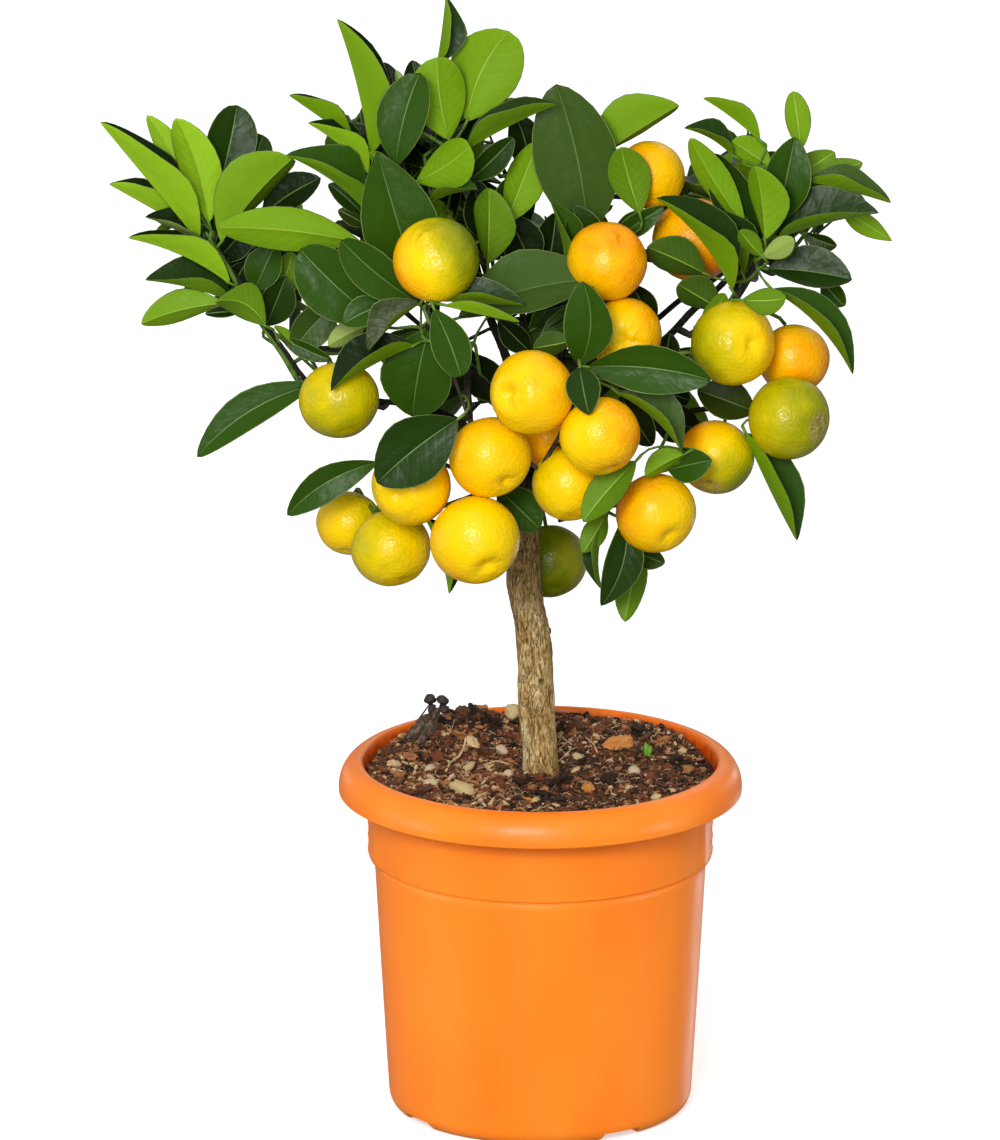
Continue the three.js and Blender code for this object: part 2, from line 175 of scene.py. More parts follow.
for i in range(4):
    turn = math.radians(CHANNEL_TURN + 90 * i)
    outward = Vector((math.sin(turn), -math.cos(turn), 0))
    reach = RIM_WIDE - CHANNEL_START
    alone()
    middle = outward * (CHANNEL_START + reach / 2)
    bpy.ops.mesh.primitive_cube_add(
        size=1, location=(middle.x * MM, middle.y * MM, 0), rotation=(0, 0, turn))
    channel = bpy.context.object
    channel.scale = (CHANNEL_WIDE * MM, reach * MM, 2 * CHANNEL_DEEP * MM)
    bpy.ops.object.mode_set(mode="EDIT")
    bpy.ops.mesh.select_all(action="DESELECT")
    bpy.ops.object.mode_set(mode="OBJECT")
    for face in channel.data.polygons:
        face.select = face.normal.z > 0.5
    bpy.ops.object.mode_set(mode="EDIT")
    taper = 1 - 2 * CHANNEL_DRAFT / CHANNEL_WIDE
    turned_axis = {"orient_type": "LOCAL", "center_override": (middle.x * MM, middle.y * MM, 0)}
    bpy.ops.transform.resize(value=(taper, 1, 1), **turned_axis)
    bpy.ops.mesh.select_all(action="SELECT")
    bpy.ops.mesh.bevel(offset=CHANNEL_EDGE * MM, segments=2, affect="EDGES")
    bpy.ops.object.mode_set(mode="OBJECT")
    cut(pot, channel)
    hole_at = outward * DRAIN_AT
    alone()
    bpy.ops.mesh.primitive_cylinder_add(
        vertices=DRAIN_SIDES, radius=DRAIN_RADIUS * MM, depth=4 * FLOOR * MM,
        location=(hole_at.x * MM, hole_at.y * MM, 0))
    cut(pot, bpy.context.object)

# The grip pads stand a little proud of the collar, left and right, with three plain ribs each.
for vertex in pot.data.vertices:
    x, y, z = vertex.co / MM
    out = math.hypot(x, y)
    side_on = math.degrees(math.atan2(abs(y), abs(x)))
    on_collar = PAD_FOOT < z < RIM_LIP - 1 and WALL_TOP - 1 < out < COLLAR_TOP + 0.4
    if on_collar and side_on < PAD_HALF_ANGLE + PAD_FADE_ANGLE:
        share = min(1, (PAD_HALF_ANGLE + PAD_FADE_ANGLE - side_on) / PAD_FADE_ANGLE)
        share *= min(1, (z - PAD_FOOT) / PAD_FADE_HIGH)
        grow = 1 + ((COLLAR_TOP + PAD_REACH) / out - 1) * share * share * (3 - 2 * share)
        vertex.co = Vector((x * grow, y * grow, z)) * MM

RIB_LONG, RIB_WIDE, RIB_PROUD, RIB_SUNK = 15.0, 1.9, 0.45, 0.5
RIB_HIGH, RIB_APART, RIB_SLOPE = 139, 6.5, 0.16
RIB_TURN = math.radians(5)
pads = []
for side in (-1, 1):
    for step in range(3):
        alone()
        bpy.ops.mesh.primitive_cube_add(size=1)
        rib = bpy.context.object
        rib.scale = (RIB_LONG, RIB_PROUD * 2, RIB_WIDE)
        bpy.ops.object.transform_apply(scale=True)
        bpy.ops.object.mode_set(mode="EDIT")
        bpy.ops.mesh.select_all(action="SELECT")
        bpy.ops.mesh.subdivide(number_cuts=7)
        bpy.ops.object.mode_set(mode="OBJECT")
        for vertex in rib.data.vertices:  # wrapped round the collar, with its ends let down
            along, proud, up = vertex.co
            ends = 1 - (2 * along / RIB_LONG) ** 6
            round_over = 1 - (2 * up / RIB_WIDE) ** 2
            swell = max(0, proud) * ends * (0.35 + 0.65 * round_over) * 2
            out = COLLAR_TOP + PAD_REACH - RIB_SUNK + swell
            angle = along / COLLAR_TOP - RIB_TURN
            height = RIB_HIGH - RIB_APART * step + up * (0.4 + 0.6 * ends) + RIB_SLOPE * along
            vertex.co = Vector((side * out * math.cos(angle), out * math.sin(angle), height)) * MM
        pads.append(rib)
alone(pads[0])
for rib in pads:
    rib.select_set(True)
bpy.ops.object.join()
ribs = bpy.context.object
ribs.name = ribs.data.name = "pot_collar_ribs"
faced_outwards()


def rgb(red, green, blue):
    """A screen colour, 0 to 255, as the linear values that shaders take."""
    def linear(c):
        return c / 12.92 if c <= 0.04045 else ((c + 0.055) / 1.055) ** 2.4
    return [linear(c / 255) for c in (red, green, blue)]


def shader(name, colour, roughness, **more):
    """A material with its principled shader's plain values set on their own sockets."""
    made = bpy.data.materials.new(name)
    made.use_nodes = True
    lit = made.node_tree.nodes["Principled BSDF"]
    lit.inputs["Base Color"].default_value = (*rgb(*colour), 1)
    lit.inputs["Roughness"].default_value = roughness
    for socket, value in more.items():
        lit.inputs[socket.replace("_", " ")].default_value = value
    return made


def node(material, kind, inputs=None, **settings):
    """A new node in the material, with its settings, its plain inputs and its links."""
    made = material.node_tree.nodes.new(kind)
    for name, value in settings.items():
        setattr(made, name, value)
    for name, value in (inputs or {}).items():
        if isinstance(value, bpy.types.NodeSocket):
            material.node_tree.links.new(value, made.inputs[name])
        else:
            made.inputs[name].default_value = value
    return made


def link(material, socket, into):
    """Links a socket into the material's principled shader."""
    lit = material.node_tree.nodes["Principled BSDF"]
    material.node_tree.links.new(socket, lit.inputs[into])


def sums(material, operation, *values):
    """A step of arithmetic on plain values and sockets."""
    return node(material, "ShaderNodeMath", dict(enumerate(values)), operation=operation).outputs[0]


def spread(material, value, start, end, low=0.0, high=1.0, **settings):
    """The value spread from its start to its end over low to high."""
    return node(material, "ShaderNodeMapRange", {
        "Value": value, "From Min": start, "From Max": end, "To Min": low, "To Max": high},
        **settings).outputs["Result"]


def levels(material, value, low, high, **settings):
    """The value spread from its usual 0.3 to 0.7 over low to high."""
    return spread(material, value, 0.3, 0.7, low, high, **settings)


def parts_of(material, vector):
    """The X, Y and Z of a vector."""
    return node(material, "ShaderNodeSeparateXYZ", {"Vector": vector}).outputs


def grain(material, size, detail, stretch=(1, 1, 1), rough=0.5, warp=0.0):
    """Noise on Object coordinates, with features of about that size in millimetres."""
    where = node(material, "ShaderNodeTexCoord").outputs["Object"]
    scaled = node(material, "ShaderNodeMapping", {"Vector": where, "Scale": stretch})
    return node(material, "ShaderNodeTexNoise", {
        "Vector": scaled.outputs["Vector"], "Scale": 1 / (size * MM), "Detail": detail,
        "Roughness": rough, "Distortion": warp}).outputs["Fac"]


def ramp(material, value, *stops):
    """A colour ramp over value, from (place, colour) stops with screen colours."""
    made = node(material, "ShaderNodeValToRGB", {"Fac": value})
    points = made.color_ramp.elements
    while len(points) < len(stops):
        points.new(0.5)
    for point, (place, colour) in zip(points, stops):
        point.position = place
        point.color = (*rgb(*colour), 1)
    return made.outputs["Color"]


def mixed(material, share, first, second):
    """Two colours mixed by a share."""
    made = node(material, "ShaderNodeMix", data_type="RGBA")
    for socket, into in ((share, 0), (first, 6), (second, 7)):
        material.node_tree.links.new(socket, made.inputs[into])
    return made.outputs[2]


def worn(material, size, detail, low, high, stretch=(1, 1, 1)):
    """Roughness that drifts between low and high, in patches of about that size."""
    link(material, levels(material, grain(material, size, detail, stretch), low, high), "Roughness")


def relief(material, height, depth, strength, under=None):
    """Bump of that depth in millimetres, on the material's shader."""
    inputs = {"Height": height, "Distance": depth * MM, "Strength": strength}
    if under:
        inputs["Normal"] = under
    bump = node(material, "ShaderNodeBump", inputs).outputs["Normal"]
    link(material, bump, "Normal")
    return bump


INNER_SHADE_CLEAR, INNER_SHADE_FULL, INNER_SHADE_RISE = 2.6, 0.8, 2  # where the painted shade inside the mouth fades in


def pot_plastic():
    """Orange polypropylene: satin and faintly clouded, with painted shade, a deeper red-orange, on
    the inner wall above the compost.
    """
    made = shader("orange_plastic", (255, 136, 30), 0.36, Specular_IOR_Level=0.3)
    cloud = grain(made, 38, 3, (1, 1, 0.5))
    clean = ramp(made, cloud, (0.3, (253, 126, 26)), (0.7, (255, 139, 36)))
    # Painted shade: the inner wall above the compost is mixed towards a darker red-orange.
    painted_inner_shade = ramp(made, grain(made, 5, 4), (0.35, (192, 62, 6)), (0.65, (240, 98, 12)))
    where = node(made, "ShaderNodeTexCoord").outputs["Object"]
    parts = parts_of(made, where)
    level = node(made, "ShaderNodeCombineXYZ", {"X": parts["X"], "Y": parts["Y"]}).outputs["Vector"]
    out = node(made, "ShaderNodeVectorMath", {0: level}, operation="LENGTH").outputs["Value"]
    within = spread(made, out, (MOUTH + INNER_SHADE_CLEAR) * MM, (MOUTH + INNER_SHADE_FULL) * MM)
    high = spread(made, parts["Z"], RIM_LIP * MM, (RIM_LIP + INNER_SHADE_RISE) * MM)
    within = sums(made, "MULTIPLY", within, high)
    link(made, mixed(made, within, clean, painted_inner_shade), "Base Color")
    worn(made, 9, 5, 0.3, 0.42, (1, 1, 0.25))
    broad = relief(made, grain(made, 22, 2), 0.1, 0.5)
    relief(made, grain(made, 0.55, 2), 0.02, 0.6, broad)
    return made


POT_CREASE = math.radians(32)
orange_plastic = pot_plastic()
for piece in (pot, ribs):
    piece.data.materials.clear()
    piece.data.materials.append(orange_plastic)
    alone(piece)
    bpy.ops.object.shade_smooth_by_angle(angle=POT_CREASE)
    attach(piece, "root")
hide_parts("pot")

# ------------------------------------------------------------------ the compost
# Peat and composted bark fill the pot to just under its rim: a plug with an uneven top, under
# a litter of crumbs, bark chips, pale stones, perlite and root fibres. The larger items lie
# where they show through a long lens that looks down a little on the pot.
SOIL_TOP, SOIL_SWELL, SOIL_RADIUS = 164.0, 1.3, 81.6
SOIL_LEVEL_RADIUS = 16
HEAP_AT, HEAP_HIGH, HEAP_WIDE = (-36, 54), 4.5, 22
BACK_HIGH, BACK_FROM, BACK_DEEP = 4.2, 15, 45
LUMP_WIDE, LUMP_HIGH = 7, 0.9
WALL_DIP_FROM, WALL_DIP_WIDE, WALL_DIP = 74, 8, 0.8
noise.seed_set(7)  # so that each run gives the same uneven shapes

SHEET = (1000, 1140)  # the sheet on which the near side is laid out, in points
POINT = 0.4703  # millimetres to a point of the sheet, at the pot's axis
FOOT_POINT = (540.5, 1104.5)  # where the middle of the pot's underside shows
RISE = math.radians(16.5)  # how far the lens looks down
STAND_OFF = 9000.0  # how far off the lens stands
SIGHT = Vector((0, math.cos(RISE), -math.sin(RISE)))
SKYWARD = Vector((0, math.sin(RISE), math.cos(RISE)))
AIM = Vector(((SHEET[0] / 2 - FOOT_POINT[0]) * POINT, 0,
              (FOOT_POINT[1] - SHEET[1] / 2) * POINT / math.cos(RISE)))
EYE = AIM - SIGHT * STAND_OFF


def spot(x, y, depth):
    """The place at world Y depth that shows at point x, y of the sheet."""
    ray = SIGHT * STAND_OFF + SKYWARD * ((SHEET[1] / 2 - y) * POINT)
    ray.x += (x - SHEET[0] / 2) * POINT
    return EYE + ray * ((depth - EYE.y) / ray.y)


def soil_height(x, y):
    """Height of the compost at x, y: level at the trunk and uneven further out."""
    out = math.hypot(x, y)
    uneven = math.sin(x / 17 + 1.1) * math.cos(y / 14 - 0.4) + 0.5 * math.sin((x + y) / 9)
    share = min(1, max(0, (out - SOIL_LEVEL_RADIUS) / (1.5 * SOIL_LEVEL_RADIUS)))
    share = share * share * (3 - 2 * share)
    away = math.hypot(x - HEAP_AT[0], y - HEAP_AT[1]) / HEAP_WIDE
    heap = HEAP_HIGH * math.exp(-away ** 2)
    lumps = noise.fractal(Vector((x, y, 3)) / LUMP_WIDE, 0.8, 2.2, 4) * LUMP_HIGH
    back = BACK_HIGH * min(1, max(0, y - BACK_FROM) / BACK_DEEP)
    edge = max(0, out - WALL_DIP_FROM) / WALL_DIP_WIDE
    top = SOIL_TOP + share * (SOIL_SWELL * (uneven - 0.6) + heap + back)
    return top + lumps * (1 - 0.5 * edge) - WALL_DIP * edge


SOIL_RINGS, SOIL_SIDES = 58, 200
SOIL_CREASE = math.radians(50)
soil_rings = [
    (FOOT_FLAT - WALL - 4, FLOOR + 0.3), (WALL_FOOT - WALL - 1.4, FLOOR + 8),
    (WALL_TOP - WALL - 0.8, STEP_FOOT), (COLLAR_TOP - WALL - 0.8, RIM_LIP),
    (SOIL_RADIUS, SOIL_TOP - 3), (SOIL_RADIUS, SOIL_TOP),
]
soil_rings += [(SOIL_RADIUS * (1 - i / SOIL_RINGS), SOIL_TOP) for i in range(1, SOIL_RINGS)]
soil = drawn_up("compost_bed", soil_rings, SOIL_SIDES)
for vertex in soil.data.vertices:
    x, y, z = vertex.co / MM
    if z > SOIL_TOP - 0.1:
        vertex.co.z = soil_height(x, y) * MM


def moist_peat():
    """Moist peat: dark brown, crumbly and dull, with paler flecks of bark and fibre."""
    made = shader("peat_bed", (92, 62, 42), 0.9, Specular_IOR_Level=0.2)
    fleck = grain(made, 1.5, 6, rough=0.75)
    link(made, ramp(made, fleck, (0.3, (34, 20, 14)), (0.45, (84, 54, 36)), (0.58, (132, 90, 62)),
                    (0.7, (190, 152, 116))), "Base Color")
    relief(made, grain(made, 1.1, 6, rough=0.75), 1.2, 1.0)
    return made


soil.data.materials.append(moist_peat())
alone(soil)
bpy.ops.object.shade_smooth_by_angle(angle=SOIL_CREASE)
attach(soil, "root")
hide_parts("compost")


class Heap:
    """Points and faces that grow into one joined mesh of many small things."""

    def __init__(self):
        self.points, self.faces, self.looks, self.marks, self.corners = [], [], [], [], []

    def add(self, points, faces, look, marks=None, corners=None):
        """Adds a thing, with a look for it or for each face, and a mark for each point."""
        start = len(self.points)
        self.points += points
        self.faces += [[start + i for i in face] for face in faces]
        self.looks += look if isinstance(look, list) else [look] * len(faces)
        self.marks += marks or [(0.0, 0.0, 0.0)] * len(points)
        self.corners += corners or [(0.0, 0.0)] * sum(len(face) for face in faces)

    def piece(self, name, looks, slot, mark=None, map_name=None, smooth=True):
        """The finished piece, which rides on the plant; the slot is not used."""
        mesh = bpy.data.meshes.new(name)
        mesh.from_pydata([p * MM for p in self.points], [], self.faces)
        for look in looks:
            mesh.materials.append(look)
        mesh.polygons.foreach_set("material_index", self.looks)
        mesh.polygons.foreach_set("use_smooth", [smooth] * len(self.faces))
        if mark:
            values = mesh.attributes.new(mark, "FLOAT_VECTOR", "POINT")
            values.data.foreach_set("vector", [v for m in self.marks for v in m])
        if map_name:
            corners = mesh.uv_layers.new(name=map_name).data
            corners.foreach_set("uv", [v for c in self.corners for v in c])
        mesh.update()
        made = bpy.data.objects.new(name, mesh)
        bpy.context.collection.objects.link(made)
        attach(made, "root")
        return made


def ball_shape(detail):
    """A ball's points and faces, to shape crumbs and stones from."""
    alone()
    bpy.ops.mesh.primitive_ico_sphere_add(subdivisions=detail, radius=1)
    ball = bpy.context.object
    points = [v.co.copy() for v in ball.data.vertices]
    faces = [list(face.vertices) for face in ball.data.polygons]
    bpy.data.objects.remove(ball)
    return points, faces


CRUMB, CHIP, STONE = (ball_shape(detail) for detail in (1, 2, 3))


def lump(heap, rng, at, sizes, look, rough, shape=CRUMB):
    """An uneven, randomly turned crumb or stone of those three sizes."""
    spin = [rng.gauss(0, 1) for _ in range(3)]
    tilt = Vector((rng.gauss(0, 0.35), rng.gauss(0, 0.35), 1)).normalized()
    along = tilt.cross(Vector(spin)).normalized()
    across = tilt.cross(along)
    offset = Vector([rng.uniform(0, 90) for _ in range(3)])
    points = []
    for p in shape[0]:
        grow = 0.5 + rough * (noise.noise(p * 1.2 + offset) + 0.5 * noise.noise(p * 3.5 + offset))
        reach = along * p.x * sizes[0] + across * p.y * sizes[1] + tilt * p.z * sizes[2]
        points.append(at + reach * grow)
    heap.add(points, shape[1], look)


def tube(heap, path, radii, sides, look=0):
    """A round limb along the path, closed at both ends, with a radius at each point."""
    points, faces = [], []
    reference = Vector((0, 0, 1))
    if abs((path[-1] - path[0]).normalized().z) > 0.8:
        reference = Vector((0, 1, 0))
    count = len(path)
    for i, (p, radius) in enumerate(zip(path, radii)):
        along = (path[min(i + 1, count - 1)] - path[max(i - 1, 0)]).normalized()
        across = along.cross(reference)
        if across.length < 1e-4:
            across = along.orthogonal()
        across.normalize()
        aside = along.cross(across)
        reference = across.cross(along)
        for k in range(sides):
            t = 2 * math.pi * k / sides
            points.append(p + across * math.cos(t) * radius + aside * math.sin(t) * radius)
    for i in range(count - 1):
        for k in range(sides):
            a, b = i * sides + k, i * sides + (k + 1) % sides
            faces.append([a, b, b + sides, a + sides])
    faces.append(list(range(sides - 1, -1, -1)))
    last = (count - 1) * sides
    faces.append([last + k for k in range(sides)])
    heap.add(points, faces, look)


LITTER_REACH, LITTER_CLEAR = 80.6, 10.5


def soil_spot(rng):
    """A random place on the compost, clear of the trunk and the pot's wall."""
    while True:
        out, turn = LITTER_REACH * rng.random() ** 0.5, rng.uniform(0, 2 * math.pi)
        if out > LITTER_CLEAR:
            x, y = out * math.cos(turn), out * math.sin(turn)
            return Vector((x, y, soil_height(x, y)))


def soil_spot_at(x, y, above):
    """The place that far above the compost which shows at point x, y of the sheet."""
    at = spot(x, y, 0)
    for _ in range(4):
        at += SIGHT * ((at.z - soil_height(at.x, at.y) - above) / math.sin(RISE))
    return at


DARK, BROWN, RUST, TAN, CREAM, AMBER = range(6)
BUFF, GREY, PERLITE = range(3)
PALE_FIBRE, BROWN_FIBRE = range(2)
DARK_CHIPS = (DARK, DARK, DARK, BROWN, BROWN)
CRUMB_COUNT, CHIP_COUNT, STONE_COUNT, BARK_PILE_COUNT, FIBRE_COUNT = 9500, 620, 70, 56, 800
PALER_LEFT_OF, PALER_BEHIND = -12, 32  # where more of the crumbs are pale
rng = Random(11)
crumbs, chips, stones, fibres = Heap(), Heap(), Heap(), Heap()
for _ in range(CRUMB_COUNT):
    size = 0.6 + 2.1 * rng.random() ** 3
    at = soil_spot(rng)
    paler = rng.random() < (0.7 if at.x < PALER_LEFT_OF or at.y > PALER_BEHIND else 0.26)
    lump(crumbs, rng, at + Vector((0, 0, size * 0.2)),
         (size * rng.uniform(0.9, 2.4), size * rng.uniform(0.5, 0.9), size * rng.uniform(0.6, 1)),
         rng.choice((TAN, TAN, CREAM, RUST) if paler else (*DARK_CHIPS, RUST)), 0.5)
for _ in range(CHIP_COUNT):
    size = 1.2 + 3.0 * rng.random() ** 2.4
    at = soil_spot(rng)
    lump(chips, rng, at + Vector((0, 0, 0.7)),
         (size * rng.uniform(1.2, 2.6), size * 0.8, size * rng.uniform(0.4, 0.7)),
         rng.choice((*DARK_CHIPS, RUST, TAN)), 0.6, CHIP)
for _ in range(STONE_COUNT):
    size = 1.0 + 1.7 * rng.random() ** 2
    lump(stones, rng, soil_spot(rng) + Vector((0, 0, size * 0.3)), (size * 1.2, size, size * 0.8),
         rng.choice((BUFF, GREY, GREY, PERLITE)), 0.25)

# The larger items that stand out: point of the sheet, length, width and look.
ITEM_ABOVE = 1.2
for x, y, long, wide, look in (
        (463, 789, 13.5, 8.5, BUFF), (431, 783, 7, 6, GREY), (634, 771, 8.5, 6, GREY),
        (481, 799, 7, 3, GREY), (452, 777, 7, 3.5, GREY), (683, 752, 5, 4.5, BUFF),
        (577, 757, 6, 4, BUFF), (576, 770, 5, 3.5, BUFF), (655, 796, 6, 4, BUFF),
        (508, 773, 5, 4, GREY), (535, 799, 6, 4, BUFF), (502, 750, 6, 5, GREY),
        (468, 768, 9, 4, BUFF), (430, 768, 5, 4, GREY)):
    lump(stones, rng, soil_spot_at(x, y, ITEM_ABOVE), (long, wide, wide * 0.8), look, 0.16, STONE)
for x, y, long, wide, look in (
        (617, 745, 13, 8, AMBER), (588, 789, 7, 6, AMBER), (529, 799, 6, 4, AMBER),
        (447, 726, 8, 6, BROWN), (462, 736, 10, 6, TAN), (432, 734, 9, 6, RUST),
        (663, 742, 8, 5, TAN), (520, 783, 10, 7, DARK), (560, 781, 11, 8, DARK),
        (400, 775, 7, 5, TAN), (672, 762, 9, 6, DARK), (500, 768, 7, 5, BROWN),
        (578, 727, 8, 6, BROWN), (436, 757, 9, 6, RUST), (410, 757, 7, 5, TAN),
        (600, 730, 8, 5, RUST), (640, 733, 8, 6, DARK), (545, 793, 10, 6, DARK),
        (652, 778, 8, 5, RUST), (488, 752, 8, 6, BROWN), (540, 776, 6, 5, RUST),
        (472, 742, 7, 5, CREAM), (610, 780, 10, 7, DARK), (688, 770, 6, 6, TAN),
        (420, 790, 11, 5, BROWN), (385, 752, 8, 5, BROWN), (395, 765, 7, 5, CREAM),
        (560, 800, 10, 5, DARK)):
    lump(chips, rng, soil_spot_at(x, y, ITEM_ABOVE), (long, wide, wide * 0.65), look, 0.4, STONE)
PILE_LEFT, PILE_RIGHT, PILE_TOP_AT, PILE_HALF = 447, 497, 471, 32
PILE_FOOT, PILE_HIGH, PILE_BACK, PILE_LEAN = 724, 17, 50, 0.75
for _ in range(BARK_PILE_COUNT):  # bark lumps piled up at the back
    x = rng.uniform(PILE_LEFT, PILE_RIGHT)
    y = PILE_FOOT - rng.random() * PILE_HIGH * (1 - ((x - PILE_TOP_AT) / PILE_HALF) ** 2)
    size = rng.uniform(3, 7)
    at = spot(x, y, PILE_BACK + (PILE_FOOT - y) * PILE_LEAN)
    lump(chips, rng, at, (size * 1.3, size, size * 0.9), rng.choice((*DARK_CHIPS, TAN)), 0.45, STONE)
lump(stones, rng, spot(513, 712, 53), (8, 7.5, 7), BUFF, 0.2, STONE)

for _ in range(FIBRE_COUNT):
    at = soil_spot(rng) + Vector((0, 0, 1.0))
    turn = rng.uniform(0, 2 * math.pi)
    path = [at.copy()]
    for _ in range(rng.randint(3, 6)):
        turn += rng.gauss(0, 0.45)
        at = at + Vector((math.cos(turn), math.sin(turn), 0)) * 1.1
        if at.xy.length > 80:
            break
        at.z = soil_height(at.x, at.y) + 1.1 + rng.uniform(-0.5, 1.2)
        path.append(at.copy())
    if len(path) > 2:
        thick = rng.uniform(0.08, 0.24)
        look = rng.choice((PALE_FIBRE, BROWN_FIBRE, BROWN_FIBRE))
        tube(fibres, path, [thick] * len(path), 4, look)
for points, thick in ((((446, 771), (450, 763), (459, 757), (464, 748), (466, 738)), 0.6),
                      (((560, 735), (566, 741), (572, 745)), 0.4),
                      (((559, 750), (566, 744), (573, 738)), 0.35),
                      (((558, 762), (565, 756), (571, 750), (577, 748)), 0.35),
                      (((484, 765), (496, 761), (509, 764)), 0.4),
                      (((586, 738), (594, 745), (598, 754)), 0.4)):
    path = [soil_spot_at(x, y, 2.0) for x, y in points]
    tube(fibres, path, [thick] * len(path), 5, PALE_FIBRE)
for x, y in ((560, 738), (564, 744), (561, 751), (566, 756), (570, 749), (563, 762), (572, 741)):
    lump(crumbs, rng, soil_spot_at(x, y, 1.6), (3.4, 2.2, 2), CREAM, 0.5)

peat_looks = [
    shader(name, colour, 0.8, Specular_IOR_Level=0.25) for name, colour in (
        ("peat_dark", (46, 28, 17)), ("peat_brown", (98, 62, 38)), ("bark_rust", (122, 66, 38)),
        ("bark_tan", (176, 118, 72)), ("fibre_cream", (220, 186, 138)),
        ("bark_amber", (210, 138, 70)))]
stone_looks = [shader("stone_buff", (206, 180, 128), 0.7),
               shader("stone_grey", (212, 186, 152), 0.75),
               shader("perlite", (206, 200, 190), 0.8)]
fibre_looks = [shader("root_fibre", (216, 182, 140), 0.8),
               shader("root_fibre_brown", (126, 82, 52), 0.85)]
for made in peat_looks + stone_looks + fibre_looks:
    worn(made, 1.5, 3, 0.4, 0.8)
    relief(made, grain(made, 0.8, 5, rough=0.75), 0.6, 1.0)
crumbs.piece("compost_crumbs", peat_looks, "compost", smooth=False)
chips.piece("compost_bark_chips", peat_looks, "compost", smooth=False)
stones.piece("compost_stones", stone_looks, "compost")
fibres.piece("compost_root_fibres", fibre_looks, "compost")


DRY_LEAF_THICK = 0.5


def curled_leaf(foot, tip, half_width, curl, seed):
    """A dry leaf that has rolled up along its rib, from foot to tip."""
    alone()
    bpy.ops.mesh.primitive_grid_add(x_subdivisions=12, y_subdivisions=20, size=1)
    made = bpy.context.object
    along = tip - foot
    side = along.cross(SIGHT).normalized()
    away = side.cross(along).normalized()
    for vertex in made.data.vertices:
        v, u = vertex.co.x * 2, vertex.co.y + 0.5
        half = half_width * math.sin(math.pi * (0.05 + 0.87 * u)) ** 0.7
        turn = math.radians(curl) * v * (0.55 + 0.45 * u)
        crumple = noise.noise_vector(Vector((v * 1.5, u * 4.0, seed))) * 1.3
        crumple += noise.noise_vector(Vector((v * 4, u * 9, seed))) * 0.5
        bow = 4 * u * (1 - u) * 2.0
        vertex.co = (foot + along * u + side * (half * math.sin(turn) / 1.6)
                     - away * (half * math.cos(turn) / 1.6 - bow) + crumple) * MM
    thickened = made.modifiers.new("thickness", "SOLIDIFY")
    thickened.thickness, thickened.offset = DRY_LEAF_THICK * MM, 0
    return settled(made)


# Two dry leaves that have curled up stand in the compost, back left, with two dry buds on stalks.
dry_leaves = [curled_leaf(spot(406, 742, 34), spot(432, 714, 32), 4.4, 100, 0.4),
              curled_leaf(spot(420, 744, 30), spot(438, 708, 34), 4.6, 130, 7.7)]
alone(dry_leaves[0])
dry_leaves[1].select_set(True)
bpy.ops.object.join()
dry_leaf = bpy.context.object
dry_leaf.name = dry_leaf.data.name = "compost_dry_leaves"
faced_outwards()
bpy.ops.object.shade_smooth()
dry_look = shader("dry_leaf_brown", (92, 66, 48), 0.7)
link(dry_look, ramp(dry_look, grain(dry_look, 2.2, 5, rough=0.7), (0.34, (34, 25, 19)),
                    (0.5, (76, 58, 44)), (0.66, (132, 112, 94))), "Base Color")
worn(dry_look, 3, 4, 0.55, 0.85)
relief(dry_look, grain(dry_look, 1.2, 5, rough=0.7), 0.8, 1.0)
dry_leaf.data.materials.append(dry_look)
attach(dry_leaf, "root")
buds = Heap()
for points, radii in ((((418, 754), (421, 736), (428, 718), (432, 704)), (0.6, 0.5, 0.5, 0.4)),
                      (((428, 742), (431, 724), (437, 712), (441, 704)), (0.5, 0.5, 0.4, 0.4)),
                      (((404, 740), (412, 728), (424, 712), (434, 698)), (0.5, 0.5, 0.4, 0.3))):
    tube(buds, [spot(x, y, 35) for x, y in points], radii, 6)
for x, y in ((430, 699), (442, 700)):
    lump(buds, rng, spot(x, y, 35), (5.6, 5.2, 5.0), 0, 0.15, STONE)
    lump(buds, rng, spot(x + 2, y + 9, 36), (4.6, 4, 5), 0, 0.3, STONE)
bud_look = shader("dry_bud", (48, 36, 28), 0.6)
worn(bud_look, 2, 3, 0.45, 0.75)
relief(bud_look, grain(bud_look, 1.2, 4), 0.5, 1.0)
buds.piece("compost_dry_buds", [bud_look], "compost")

# A weed seedling, front right.
sprout = Heap()
for x, lean, high in ((647, -0.3, 7.5), (649, 0.6, 6.0)):
    foot = soil_spot_at(x, 758, 0)
    path = [foot + Vector((lean * aside, 0, high * up)) for aside, up in (
        (0, 0), (0.3, 0.3), (1, 0.7), (1.5, 1))]
    tube(sprout, path, [0.7, 1.2, 1.3, 0.3], 8)
sprout_green = shader("seedling_green", (96, 160, 34), 0.5)
worn(sprout_green, 2, 3, 0.4, 0.6)
relief(sprout_green, grain(sprout_green, 1, 3), 0.1, 0.6)
sprout.piece("compost_seedling", [sprout_green], "foliage")

# ------------------------------------------------------------------ trunk and boughs
# One woody frame: a leaning trunk that tapers to its fork, and the boughs that rise from it.
# The limbs are laid through each other, fused to one skin, and then given the bark's relief.
TRUNK_SIDES, TRUNK_STEP = 48, 3.0
BOUGH_SIDES, BOUGH_STEP, BOUGH_WANDER = 12, 5, 1.6
SKIN_GRAIN = 0.72
TRUNK_STATIONS = (  # height, sideways place and radius, as the trunk tapers and leans
    (SOIL_TOP - 3, 0.2, 8.8), (SOIL_TOP + 0.5, 0.2, 8.6), (174, -0.2, 8.4), (186, -1.2, 8.6),
    (198.4, -1.9, 8.8), (223, -2.8, 8.4), (235, -4.0, 8.1), (247.5, -6.6, 8.1), (257, -8.0, 8.3),
    (272, -8.1, 7.8), (282, -7.8, 7.2), (300, -6.8, 6.6), (320, -5.4, 6.0),
)


